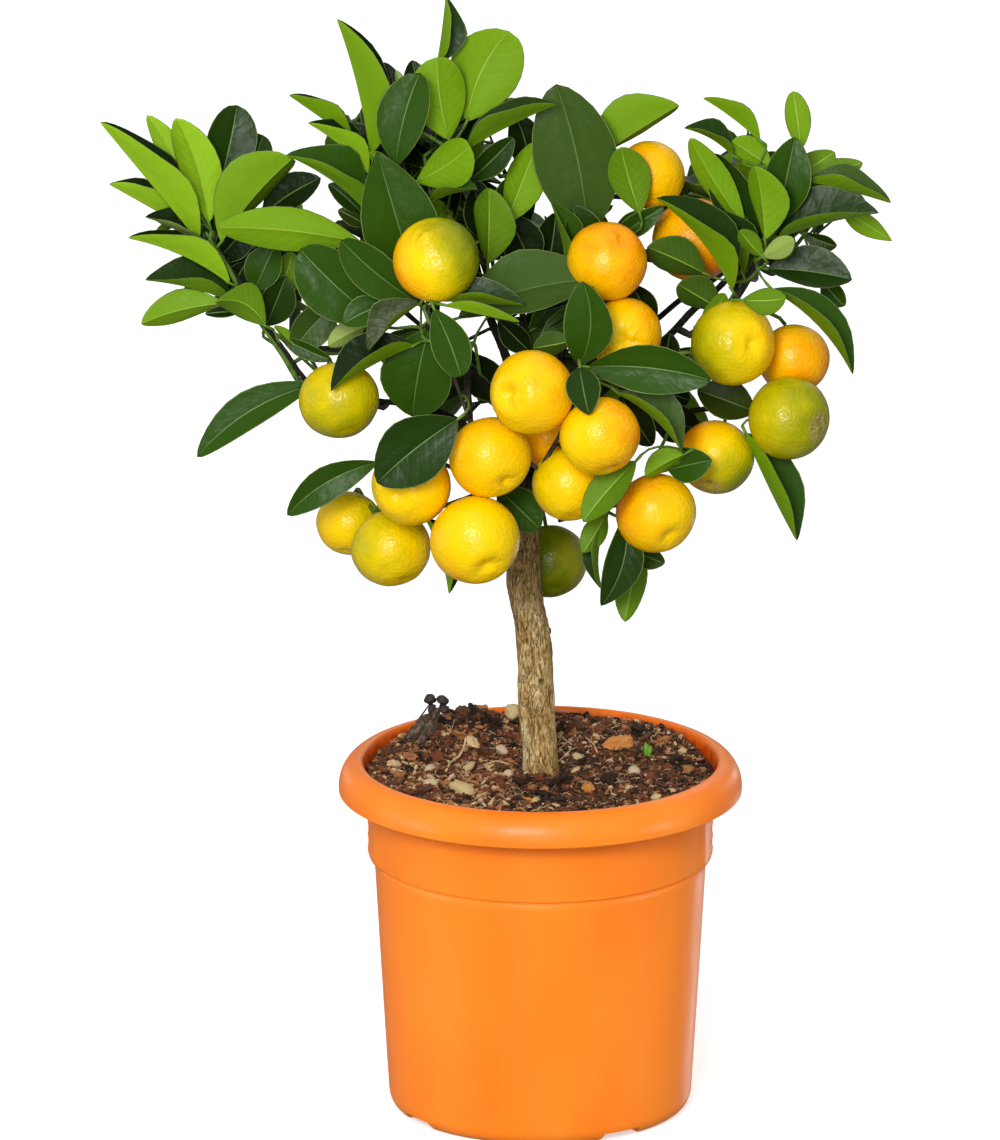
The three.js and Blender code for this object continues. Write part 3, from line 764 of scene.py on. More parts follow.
def along_stations(stations, height):
    """The values of the stations at a height, smoothly between the nearest two."""
    for low, high in zip(stations, stations[1:]):
        if height <= high[0]:
            break
    share = min(1, max(0, (height - low[0]) / (high[0] - low[0])))
    share = share * share * (3 - 2 * share) * 0.5 + share * 0.5
    return [a + (b - a) * share for a, b in zip(low[1:], high[1:])]


def smooth_path(points, step):
    """Points every step or so along a smooth curve through the given points."""
    ends = [points[0] * 2 - points[1], *points, points[-1] * 2 - points[-2]]
    path = []
    for a, b, c, d in zip(ends, ends[1:], ends[2:], ends[3:]):
        count = max(2, round((c - b).length / step))
        for i in range(count):
            t = i / count
            bend, twist = 2 * a - 5 * b + 4 * c - d, 3 * b - a - 3 * c + d
            path.append(0.5 * (2 * b + (c - a) * t + bend * t * t + twist * t ** 3))
    return path + [points[-1].copy()]


BOUGHS = {  # spray that each feeds: places it bends through, and its radius at both ends
    "top_left": ([(-5, 0, 300), (-12, 6, 350), (-30, 8, 400), (-56, 2, 452)], 3.4, 1.5),
    "right_shoot": ([(-4, 0, 300), (24, 2, 344), (62, 4, 378), (98, -2, 416)], 3.2, 1.5),
    "top_middle": ([(-5, 2, 304), (2, 8, 355), (10, 12, 395), (22, 14, 434)], 3.2, 1.5),
    "left_low": ([(-6, 0, 294), (-32, -4, 332), (-62, -12, 346), (-100, -17, 352)], 3.0, 1.3),
    "middle_left": ([(-6, -2, 298), (-20, -18, 345), (-34, -36, 372), (-54, -58, 398)], 2.9, 1.3),
    "middle_front": ([(-4, -2, 296), (4, -22, 344), (12, -40, 366), (22, -60, 386)], 2.9, 1.3),
    "right_low": ([(-5, 0, 292), (26, -8, 326), (58, -16, 342), (96, -22, 350)], 2.9, 1.3),
    "back_left": ([(-6, 2, 298), (-24, 26, 344), (-46, 44, 370), (-80, 68, 392)], 3.0, 1.4),
    "back_right": ([(-5, 2, 296), (18, 26, 338), (40, 44, 360), (76, 68, 382)], 3.0, 1.4),
    "back_top": ([(-5, 3, 300), (-3, 28, 352), (-5, 48, 388), (-6, 78, 414)], 3.0, 1.4),
    "low_left": ([(-6, -1, 284), (-18, -14, 306), (-46, -44, 306)], 2.6, 1.2),
    "low_right": ([(-5, -1, 282), (8, -14, 306), (28, -38, 310)], 2.6, 1.2),
    "back_low": ([(-6, 1, 286), (-8, 18, 312), (-9, 60, 326)], 2.6, 1.2),
}
RISER = ([(-104, -17, 353), (-120, -14, 372), (-134, -10, 392), (-150, -6, 420)], 1.5, 1.1)

trunk_rings = []
height = TRUNK_STATIONS[0][0]
while height <= TRUNK_STATIONS[-1][0]:
    right, radius = along_stations(TRUNK_STATIONS, height)
    trunk_rings.append((radius, height, right))
    height += TRUNK_STEP
wood = drawn_up("bark_trunk_and_boughs", trunk_rings, TRUNK_SIDES)

limbs = Heap()
limb_paths = {}
for name, (places, foot, end) in [*BOUGHS.items(), ("riser", RISER)]:
    path = smooth_path([Vector(p) for p in places], BOUGH_STEP)
    path = [p + noise.noise_vector(p / 22) * BOUGH_WANDER * min(1, i / 3)
            for i, p in enumerate(path)]
    radii = [foot + (end - foot) * (i / (len(path) - 1)) ** 0.6 for i in range(len(path))]
    limb_paths[name] = (path, radii)
    tube(limbs, path, radii, BOUGH_SIDES)
KNOTS = [(spot(551, 631, -2), 1.9), (spot(541, 681, -8.6), 1.5), (spot(537, 552, -5), 2.2)]
for at, size in KNOTS:  # the healed stubs of twigs that were cut off the trunk
    heart = Vector((along_stations(TRUNK_STATIONS, at.z)[0], 0, at.z))
    outward = (at - heart).normalized()
    tube(limbs, [heart.lerp(at, 0.5), at - outward * 0.6, at + outward * 0.4],
         [size * 1.3, size, size * 0.7], BOUGH_SIDES)
limb_mesh = limbs.piece("limbs", [], "bark")
alone(wood)
limb_mesh.select_set(True)
bpy.ops.object.join()
skin = wood.modifiers.new("skin", "REMESH")
skin.mode, skin.voxel_size, skin.use_smooth_shade = "VOXEL", SKIN_GRAIN * MM, True
ease = wood.modifiers.new("ease", "SMOOTH")
ease.factor, ease.iterations = 0.5, 4
settled(wood)


OLD_BARK_TO, OLD_BARK_FADE = 290, 50


def bark_relief(p):
    """How far the bark stands out at a place: long low plates between furrows."""
    warp = noise.noise_vector(p / 9) * 1.2
    q = Vector(((p.x + warp.x) / 1.7, (p.y + warp.y) / 1.7, (p.z + warp.z) / 8))
    furrow = max(0, 1 - abs(noise.noise(q)) * 3.6)
    fine = noise.noise(Vector((p.x / 0.9, p.y / 0.9, p.z / 5)))
    swell = noise.noise(p / 13)
    old = min(1, max(0.25, 1 - (p.z - OLD_BARK_TO) / OLD_BARK_FADE))
    return old * (0.45 * swell - 0.24 * furrow + 0.16 * fine)


normals = [v.normal.copy() for v in wood.data.vertices]
for vertex, normal in zip(wood.data.vertices, normals):
    vertex.co += normal * bark_relief(vertex.co / MM) * MM


# From here up, the trunk's plates turn darker under the crown: painted shade.
DUSKY_FROM, DUSKY_TO = 244, 262
YOUNG_FROM, YOUNG_TO = 285, 310


def citrus_bark():
    """Citrus bark: tan fibrous plates between fine dark cracks on the trunk, darker under the crown
    as painted shade, near black above.
    """
    made = shader("citrus_bark", (150, 120, 78), 0.82, Specular_IOR_Level=0.25)
    where = node(made, "ShaderNodeTexCoord").outputs["Object"]
    cracks = []
    for size, reach, wide in ((2.6, 0.24, 0.032), (1.4, 0.34, 0.022)):
        wander = grain(made, size, 4, (1, 1, reach), 0.6, 0.5)
        away = sums(made, "ABSOLUTE", sums(made, "SUBTRACT", wander, 0.5))
        cracks.append(spread(made, away, 0.0, wide))
    sound = sums(made, "MULTIPLY", sums(made, "MULTIPLY_ADD", cracks[1], 0.35, 0.65), cracks[0])
    for at, size in KNOTS:
        apart = node(made, "ShaderNodeVectorMath", {0: where, 1: at * MM}, operation="DISTANCE")
        clear = spread(made, apart.outputs["Value"], size * 0.6 * MM, size * 1.3 * MM)
        sound = sums(made, "MULTIPLY", sound, clear)
    streak = grain(made, 0.9, 5, (1, 1, 0.26), 0.65, 0.4)
    patch = grain(made, 9, 3, (1, 1, 0.4), 0.5)
    brown, pale, dusky = (ramp(made, streak, *zip((0.34, 0.5, 0.66), colours)) for colours in (
        ((124, 92, 42), (178, 142, 82), (214, 184, 122)),
        ((168, 140, 84), (218, 194, 138), (250, 238, 202)),
        ((112, 86, 46), (158, 128, 76), (200, 172, 116))))
    young = ramp(made, streak, (0.34, (14, 14, 9)), (0.55, (34, 32, 20)), (0.7, (58, 54, 34)))
    depth = ramp(made, grain(made, 3, 2), (0.4, (66, 46, 26)), (0.6, (108, 80, 46)))
    height = parts_of(made, where)["Z"]
    shaded = spread(made, height, DUSKY_FROM * MM, DUSKY_TO * MM)
    above = spread(made, height, YOUNG_FROM * MM, YOUNG_TO * MM)
    plates = mixed(made, levels(made, patch, -0.5, 1.2), brown, pale)
    plates = mixed(made, shaded, plates, dusky)
    link(made, mixed(made, above, mixed(made, sound, depth, plates), young), "Base Color")
    link(made, levels(made, streak, 0.95, 0.7), "Roughness")
    coarse = relief(made, sound, 0.35, 1.0)
    relief(made, streak, 0.45, 0.9, coarse)
    return made


wood.data.materials.clear()
wood.data.materials.append(citrus_bark())
alone(wood)
bpy.ops.object.shade_smooth()
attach(wood, "root")
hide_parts("trunk", "riser_left_shoot", *(f"bough_{name}" for name in BOUGHS))

# ------------------------------------------------------------------ the fruit
# Calamondins, a little flattened, with a dimple at the blossom's end and a green calyx at the
# stalk's end. Thin glossy peel, pitted by its oil glands, ripens unevenly from green to orange.
FRUIT_ROWS, FRUIT_SIDES = 30, 44
FRUIT_SQUAT = 0.94
# Each fruit's point of the sheet, radius in points, world Y, ripeness, how that leans to the right
# and down, where its blossom's end shows, in radii from its middle, how deep that is, and its cork.
FRUIT = (
    (436, 260, 43, -60, 0.55, -0.36, 0.14, -0.26, -0.56, -1.2, 0.0),
    (607, 261, 40, -40, 0.88, 0.05, -0.06, 0.30, -0.64, 0.9, 0.0),
    (625, 335, 37, -44, 0.74, 0.16, -0.02, 0.16, 0.10, 1.2, 0.0),
    (650, 175, 35, 10, 0.84, -0.10, 0.04, -0.20, 0.75, 0.5, 0.0),
    (695, 240, 43, 12, 0.90, 0.10, 0.02, 0.10, 0.80, 0.5, 0.0),
    (733, 343, 42, -44, 0.57, 0.24, -0.02, 0.42, 0.02, 0.9, 0.0),
    (794, 359, 36, -20, 0.86, 0.05, 0.05, 0.20, 0.85, 0.5, 0.0),
    (789, 418, 42, -46, 0.41, -0.08, 0.0, 0.79, 0.24, 0.6, 1.0),
    (716, 457, 38, -40, 0.61, -0.24, -0.24, -0.22, 0.86, 0.5, 0.9),
    (656, 513, 40.5, -60, 0.80, -0.10, -0.06, 0.44, 0.66, 0.9, 0.0),
    (532, 392, 42, -92, 0.78, 0.08, -0.02, -0.56, 0.12, 1.6, 0.0),
    (600, 436, 40, -98, 0.78, 0.14, -0.02, 0.30, 0.86, 0.6, 0.0),
    (549, 437, 32, -46, 0.88, 0.0, 0.0, 0.10, 0.90, 0.3, 0.0),
    (490, 457, 41, -76, 0.76, -0.08, -0.04, 0.38, 0.74, 0.9, 0.0),
    (570, 484, 38, -71, 0.70, 0.14, 0.02, 0.20, 0.90, 0.4, 0.0),
    (411, 485, 40, -70, 0.71, 0.04, -0.04, -0.46, 0.24, 1.0, 0.0),
    (475, 540, 45, -84, 0.70, -0.08, 0.02, 0.34, 0.70, 1.1, 0.0),
    (391, 548, 40, -44, 0.60, 0.08, 0.0, 0.30, 0.90, 0.4, 0.0),
    (349, 523, 33, -18, 0.62, -0.12, 0.02, -0.20, 0.90, 0.4, 0.0),
    (339, 400, 40, -42, 0.48, -0.04, -0.10, 0.20, 0.90, 0.4, 0.0),
    (550, 561, 38, 29, 0.21, 0.10, -0.06, 0.10, 0.85, 0.4, 0.0),
)
alone()
bpy.ops.mesh.primitive_uv_sphere_add(segments=FRUIT_SIDES, ring_count=FRUIT_ROWS, radius=1)
ball = bpy.context.object
BALL_POINTS = [v.co.copy() for v in ball.data.vertices]
BALL_FACES = [list(face.vertices) for face in ball.data.polygons]
BALL_CORNERS = [tuple(corner.uv) for corner in ball.data.uv_layers[0].data]
bpy.data.objects.remove(ball)

MAP_COLUMNS, MAP_MARGIN = 6, 0.03
peels = Heap()
fruits = []  # centre, radius and the way to the stalk of each


def fruit(heap, centre, radius, blossom, ripeness, lean, dimple, cork):
    """Adds one fruit, with its blossom's end towards that direction."""
    number = len(heap.points) // len(BALL_POINTS)
    rng = Random(500 + len(fruits))
    stalk = -blossom.normalized()
    across = stalk.orthogonal().normalized()
    aside = stalk.cross(across)
    one_side = rng.uniform(0, 2 * math.pi)
    offset = Vector([rng.uniform(0, 50) for _ in range(3)])
    points, marks = [], []
    for p in BALL_POINTS:
        from_stalk = math.acos(max(-1, min(1, p.z)))
        from_blossom = math.pi - from_stalk
        round_about = math.atan2(p.y, p.x)
        grow = 1 + 0.022 * noise.noise(p * 1.1 + offset) + 0.008 * noise.noise(p * 4 + offset)
        grow -= 0.07 * math.exp(-(from_stalk / 0.2) ** 2)
        grow += 0.012 * math.cos(7 * round_about) * math.exp(-((from_stalk - 0.26) / 0.14) ** 2)
        lopsided = 1 + 0.75 * math.cos(round_about - one_side)
        grow -= 0.12 * dimple * lopsided * math.exp(-(from_blossom / 0.24) ** 2)
        grow += 0.022 * dimple * math.exp(-((from_blossom - 0.5) / 0.17) ** 2)
        pleats = math.exp(-((from_blossom - 0.3) / 0.14) ** 2)
        grow -= 0.012 * dimple * abs(math.sin(4 * round_about)) * pleats
        shape = across * p.x + aside * p.y + stalk * p.z * FRUIT_SQUAT
        points.append(centre + shape * grow * radius)
        ring = math.exp(-((from_blossom - 0.26) / 0.09) ** 2)
        ring += 0.5 * math.exp(-(from_blossom / 0.12) ** 2)
        marks.append((ripeness + lean.dot(shape), cork * ring, from_stalk))
    column, row = number % MAP_COLUMNS, number // MAP_COLUMNS
    left, foot, span = column + MAP_MARGIN, row + MAP_MARGIN, 1 - 2 * MAP_MARGIN
    corners = [((left + span * u) / MAP_COLUMNS, (foot + span * v) / MAP_COLUMNS)
               for u, v in BALL_CORNERS]
    heap.add(points, BALL_FACES, 0, marks, corners)
    fruits.append((centre, radius, stalk))


RIGHTWARD = Vector((1, 0, 0))
for x, y, size, depth, ripeness, lean_x, lean_y, blossom_x, blossom_y, dimple, cork in FRUIT:
    facing = max(0.05, 1 - blossom_x ** 2 - blossom_y ** 2) ** 0.5
    blossom = RIGHTWARD * blossom_x - SKYWARD * blossom_y - SIGHT * facing
    lean = RIGHTWARD * lean_x - SKYWARD * lean_y
    fruit(peels, spot(x, y, depth), size * POINT, blossom, ripeness, lean, dimple, cork)


def ripening_peel():
    """Glossy pitted peel, from green through yellow to orange, with a corky ring on some."""
    made = shader("fruit_peel", (250, 190, 4), 0.28, Specular_IOR_Level=0.26)
    mark = node(made, "ShaderNodeAttribute", attribute_name="peel").outputs["Vector"]
    parts = parts_of(made, mark)
    blotch = levels(made, grain(made, 9, 3), -0.05, 0.05, clamp=False)
    ripe = sums(made, "ADD", parts["X"], blotch)
    peel = ramp(made, ripe, (0.0, (70, 90, 4)), (0.2, (108, 120, 2)), (0.38, (160, 158, 0)),
                (0.54, (212, 190, 0)), (0.68, (250, 208, 0)), (0.8, (255, 194, 0)),
                (0.9, (255, 170, 0)), (1.0, (250, 140, 0)))
    cork = ramp(made, grain(made, 1.2, 4), (0.35, (120, 84, 30)), (0.65, (206, 186, 120)))
    link(made, mixed(made, parts["Y"], peel, cork), "Base Color")
    pit = node(made, "ShaderNodeTexVoronoi", {
        "Vector": node(made, "ShaderNodeTexCoord").outputs["Object"], "Scale": 1 / (1.5 * MM)},
        feature="SMOOTH_F1").outputs["Distance"]
    worn(made, 2.5, 3, 0.24, 0.34)
    uneven = relief(made, grain(made, 5, 2), 0.25, 0.7)
    relief(made, pit, 0.3, 1.0, uneven)
    return made


peel_look = ripening_peel()
peels.piece("fruit", [peel_look], "foliage", mark="peel", map_name="OFBake")

# ------------------------------------------------------------------ the shoots on the near side
# Citrus leaves: leathery, dark and glossy above with a pale rib and edge, matt and yellow-green
# beneath. Each is a thin closed blade on a short stalk, folded along its rib and a little wavy.
# The shoots that show on the near side are laid out leaf by leaf, and then grown on to the wood.
LEAF_THICK = 0.32
EDGE_WIDE = 0.5
RIB_HALF = 0.3
VEINS, VEIN_SWEEP = 8.5, 1.9
# The tops black, deep and dark are one green at three brightnesses, and the undersides lit, bright,
# light and dim are one green at four: painted light and shade, dealt to each leaf as the light falls
# on it. The grey tops are a painted grey sheen.
TOPS = {"black": (19, 36, 5), "deep": (32, 56, 8), "dark": (44, 76, 10), "grey": (60, 84, 28),
        "fresh": (76, 116, 10), "olive": (46, 60, 12)}
UNDERS = {"lit": (142, 186, 26), "bright": (112, 152, 8), "light": (94, 130, 10),
          "pale": (146, 168, 84), "dim": (62, 90, 14)}


def veins(made, depth, swell):
    """Bump from the leaf's own map: side veins that sweep forward from the rib, on a soft swell."""
    blade = node(made, "ShaderNodeUVMap", uv_map="blade").outputs["UV"]
    parts = parts_of(made, blade)
    sweep = sums(made, "MULTIPLY", parts["Y"], -VEIN_SWEEP)
    row = sums(made, "MULTIPLY_ADD", parts["X"], VEINS, sweep)
    wave = sums(made, "PINGPONG", row, 0.5)
    soft = spread(made, wave, 0.0, 0.28, interpolation_type="SMOOTHSTEP")
    broad = relief(made, grain(made, 7, 2), swell, 1.0)
    relief(made, soft, depth, 0.8, broad)


def leaf_top(name, colour):
    """Glossy cuticle over green, quilted a little between the side veins."""
    made = shader("leaf_top_" + name, colour, 0.36, Specular_IOR_Level=0.14)
    worn(made, 7, 4, 0.3, 0.42)
    veins(made, 0.05, 0.7)
    return made


def leaf_under(name, colour):
    """The matt underside, with finer veins that stand out a little."""
    made = shader("leaf_under_" + name, colour, 0.6, Specular_IOR_Level=0.2)
    worn(made, 5, 4, 0.5, 0.7)
    veins(made, 0.07, 0.4)
    return made


leaf_looks = [leaf_top(name, colour) for name, colour in TOPS.items()]
leaf_looks += [leaf_under(name, colour) for name, colour in UNDERS.items()]
for name, colour in (("leaf_rib_top", (82, 112, 46)), ("leaf_rib_under", (136, 172, 40)),
                     ("leaf_edge", (104, 126, 56)), ("leaf_stalk", (88, 126, 22))):
    made = shader(name, colour, 0.45)
    worn(made, 2, 3, 0.38, 0.55)
    relief(made, grain(made, 0.8, 3), 0.05, 0.6)
    leaf_looks.append(made)
TOP_LOOK = {name: i for i, name in enumerate(TOPS)}
UNDER_LOOK = {name: len(TOPS) + i for i, name in enumerate(UNDERS)}
RIB_TOP, RIB_UNDER, EDGE, STALK = range(len(TOPS) + len(UNDERS), len(leaf_looks))


def outline(u, broad, blunt):
    """Half width of a blade, from foot to tip: widest at broad, round-tipped for a low blunt."""
    if u < broad:
        return math.sin(math.pi / 2 * u / broad) ** 0.85
    return math.sin(math.pi / 2 * (1 - u) / (1 - broad)) ** blunt


def across_blade(v, fold, cup):
    """Where v, from -1 to 1 across a folded and cupped blade, lies: (sideways, up)."""
    steps, x, z = 6, 0.0, 0.0
    for i in range(steps):
        angle = math.radians(fold + cup * abs(v) * (i + 0.5) / steps)
        x += math.cos(angle) * abs(v) / steps
        z += math.sin(angle) * abs(v) / steps
    return math.copysign(x, v), z


def leaf(heap, rng, foot, tip, top_side, width, fold, cup, top, under, arch, bow, stalk=4.0,
         rows=12, fine=True, blunt=None):
    """Adds a leaf whose blade runs from foot to tip, with its glossy side towards top_side."""
    along = tip - foot
    length = along.length
    along.normalize()
    side = along.cross(top_side).normalized()
    up = side.cross(along)
    arch = rng.uniform(0.02, 0.09) if arch is None else arch
    bow = bow or side * rng.uniform(-0.035, 0.035)
    ripple = rng.uniform(0.02, 0.08)
    blunt = blunt or (0.78 if fold >= 40 else 0.66)
    broad = 0.5 + 0.25 * (0.74 - blunt)
    phases = rng.uniform(0, 6.28), rng.uniform(0, 6.28)
    half = width / 2
    edge, rib = 1 - min(0.3, EDGE_WIDE / half), min(0.2, RIB_HALF / half)
    if fine:
        columns = (-1, -edge, -0.66, -0.33, -rib, 0, rib, 0.33, 0.66, edge, 1)
    else:
        columns = (-1, -edge, -0.45, 0, 0.45, edge, 1)
    many = len(columns)
    middle = many // 2
    across = [across_blade(v, fold, cup) for v in columns]
    tops, unders, top_map = [], [], []
    for i in range(rows):
        u = 0.2 * i / rows + 0.4 * (1 - math.cos(math.pi * i / rows))
        wide = half * outline(u, broad, blunt) + 0.25
        spine = foot + along * length * u + (up * arch + bow) * 4 * length * u * (1 - u)
        for (x, z), v in zip(across, columns):
            wave = ripple * wide * v * v * math.sin(9 * u + phases[v > 0])
            p = spine + side * x * wide + up * (z * wide * (1 - 0.35 * u) + wave)
            thick = LEAF_THICK * (1 - v ** 6) / 2
            groove = 0.12 if v == 0 else 0
            ridge = (0.55 if v == 0 else 0.3 if abs(v) == rib else 0) * (1 - 0.75 * u)
            tops.append(p + up * (thick - groove))
            top_map.append((u, abs(v)))
            if abs(v) < 1:
                unders.append(p - up * (thick + ridge))
    end = len(tops)
    points = [*tops, tip, *unders]
    maps = [*top_map, (1.0, 0.0)] + [m for m in top_map if m[1] < 1]

    def under_point(i, j):
        """The number of the underside's point in that row and column; the margins are shared."""
        return i * many + j if j in (0, many - 1) else end + 1 + i * (many - 2) + j - 1

    faces, looks = [], []
    for j in range(many - 1):
        edge_strip, rib_strip = j in (0, many - 2), fine and j in (middle - 1, middle)
        upper = EDGE if edge_strip else RIB_TOP if rib_strip else TOP_LOOK[top]
        lower = EDGE if edge_strip else RIB_UNDER if rib_strip else UNDER_LOOK[under]
        for i in range(rows - 1):
            a = i * many + j
            faces.append([a, a + 1, a + 1 + many, a + many])
            faces.append([under_point(i, j), under_point(i + 1, j), under_point(i + 1, j + 1),
                          under_point(i, j + 1)])
            looks += [upper, lower]
        a = (rows - 1) * many + j
        faces.append([a, a + 1, end])
        faces.append([under_point(rows - 1, j), end, under_point(rows - 1, j + 1)])
        looks += [upper, lower]
    faces.append([under_point(0, j) for j in range(many - 1)]
                 + [many - 1 - j for j in range(many - 1)])
    looks.append(STALK)
    corners = [maps[i] for face in faces for i in face]
    heap.add(points, faces, looks, None, corners)
    heel = foot - along * stalk - up * arch * stalk
    path = [foot + along * 2 - up * 0.3, foot - up * 0.1, heel]
    tube(heap, path, [0.5, 0.72, 0.85], 6 if fine else 5, STALK)
    return heel


TWIG_STEP = 5.0
WAY_COST, TURN_COST, CHOICES = 0.1, 14, 60  # how a twig picks the wood that it grows from


class Wood:
    """The crown's growing points: place, parent, way back to the trunk and what hangs on each."""

    def __init__(self):
        self.at, self.parent, self.way = [], [], []
        self.load, self.thick, self.green = [], [], []

    def add(self, at, parent, thick, green=False):
        """Adds a growing point beyond its parent and returns its number."""
        self.at.append(at)
        self.parent.append(parent)
        self.way.append(0 if parent is None else self.way[parent] + (at - self.at[parent]).length)
        self.load.append(0)
        self.thick.append(thick)
        self.green.append(green)
        return len(self.at) - 1

    def heading(self, i):
        """The way that the wood grows at a growing point."""
        parent = self.parent[i]
        return Vector((0, 0, 1)) if parent is None else (self.at[i] - self.at[parent]).normalized()

    def carry(self, i, load=1):
        """Hangs something on a growing point, and so on all that lie between it and the trunk."""
        while i is not None:
            self.load[i] += load
            i = self.parent[i]

    def reach(self, goal, heading=None, green=False, load=1, own=None):
        """Grows a twig from the nearest suitable wood to the goal, clear of the fruit."""
        choices = []
        for i, p in enumerate(self.at):
            away = goal - p
            gap = away.length
            back = max(0, -away.dot(self.heading(i)) / (gap + 1e-6))
            choices.append((gap + WAY_COST * self.way[i] + TURN_COST * back, i))
        choices.sort()
        start = choices[0][1]
        for _, i in choices[:CHOICES]:
            if all(clear_way(self.at[i], goal, centre, radius) for centre, radius, _ in fruits
                   if own is None or centre != own):
                start = i
                break
        first = self.at[start]
        gap = (goal - first).length
        ease = 0.3 * min(1, gap / 30)  # short twigs run nearly straight
        pull = self.heading(start) * gap * ease
        pull *= 1 - 0.8 * max(0, -pull.normalized().dot(goal - first) / gap)
        straight = (goal - first).normalized()
        heading = heading or straight
        push = heading * gap * ease * (1 - 0.8 * max(0, -heading.dot(straight)))
        count = max(3, round(gap / TWIG_STEP))
        last = start
        for k in range(1, count + 1):
            t = k / count
            s = 1 - t
            place = first * s ** 3 + (first + pull) * 3 * s * s * t
            place += (goal - push) * 3 * s * t * t + goal * t ** 3
            last = self.add(place, last, None, green)
        self.carry(last, load)
        return last


def clear_way(a, b, centre, radius):
    """Whether the straight way from a to b stays out of a ball."""
    way = b - a
    share = min(1, max(0, (centre - a).dot(way) / (way.length_squared + 1e-6)))
    return (a + way * share - centre).length > radius + 0.5


RISER_WAY = 110
crown = Wood()
for name, (path, radii) in limb_paths.items():
    last = None
    for p, radius in list(zip(path, radii))[2::2]:
        last = crown.add(p, last, radius)
        if crown.parent[last] is None and name == "riser":
            crown.way[last] = RISER_WAY
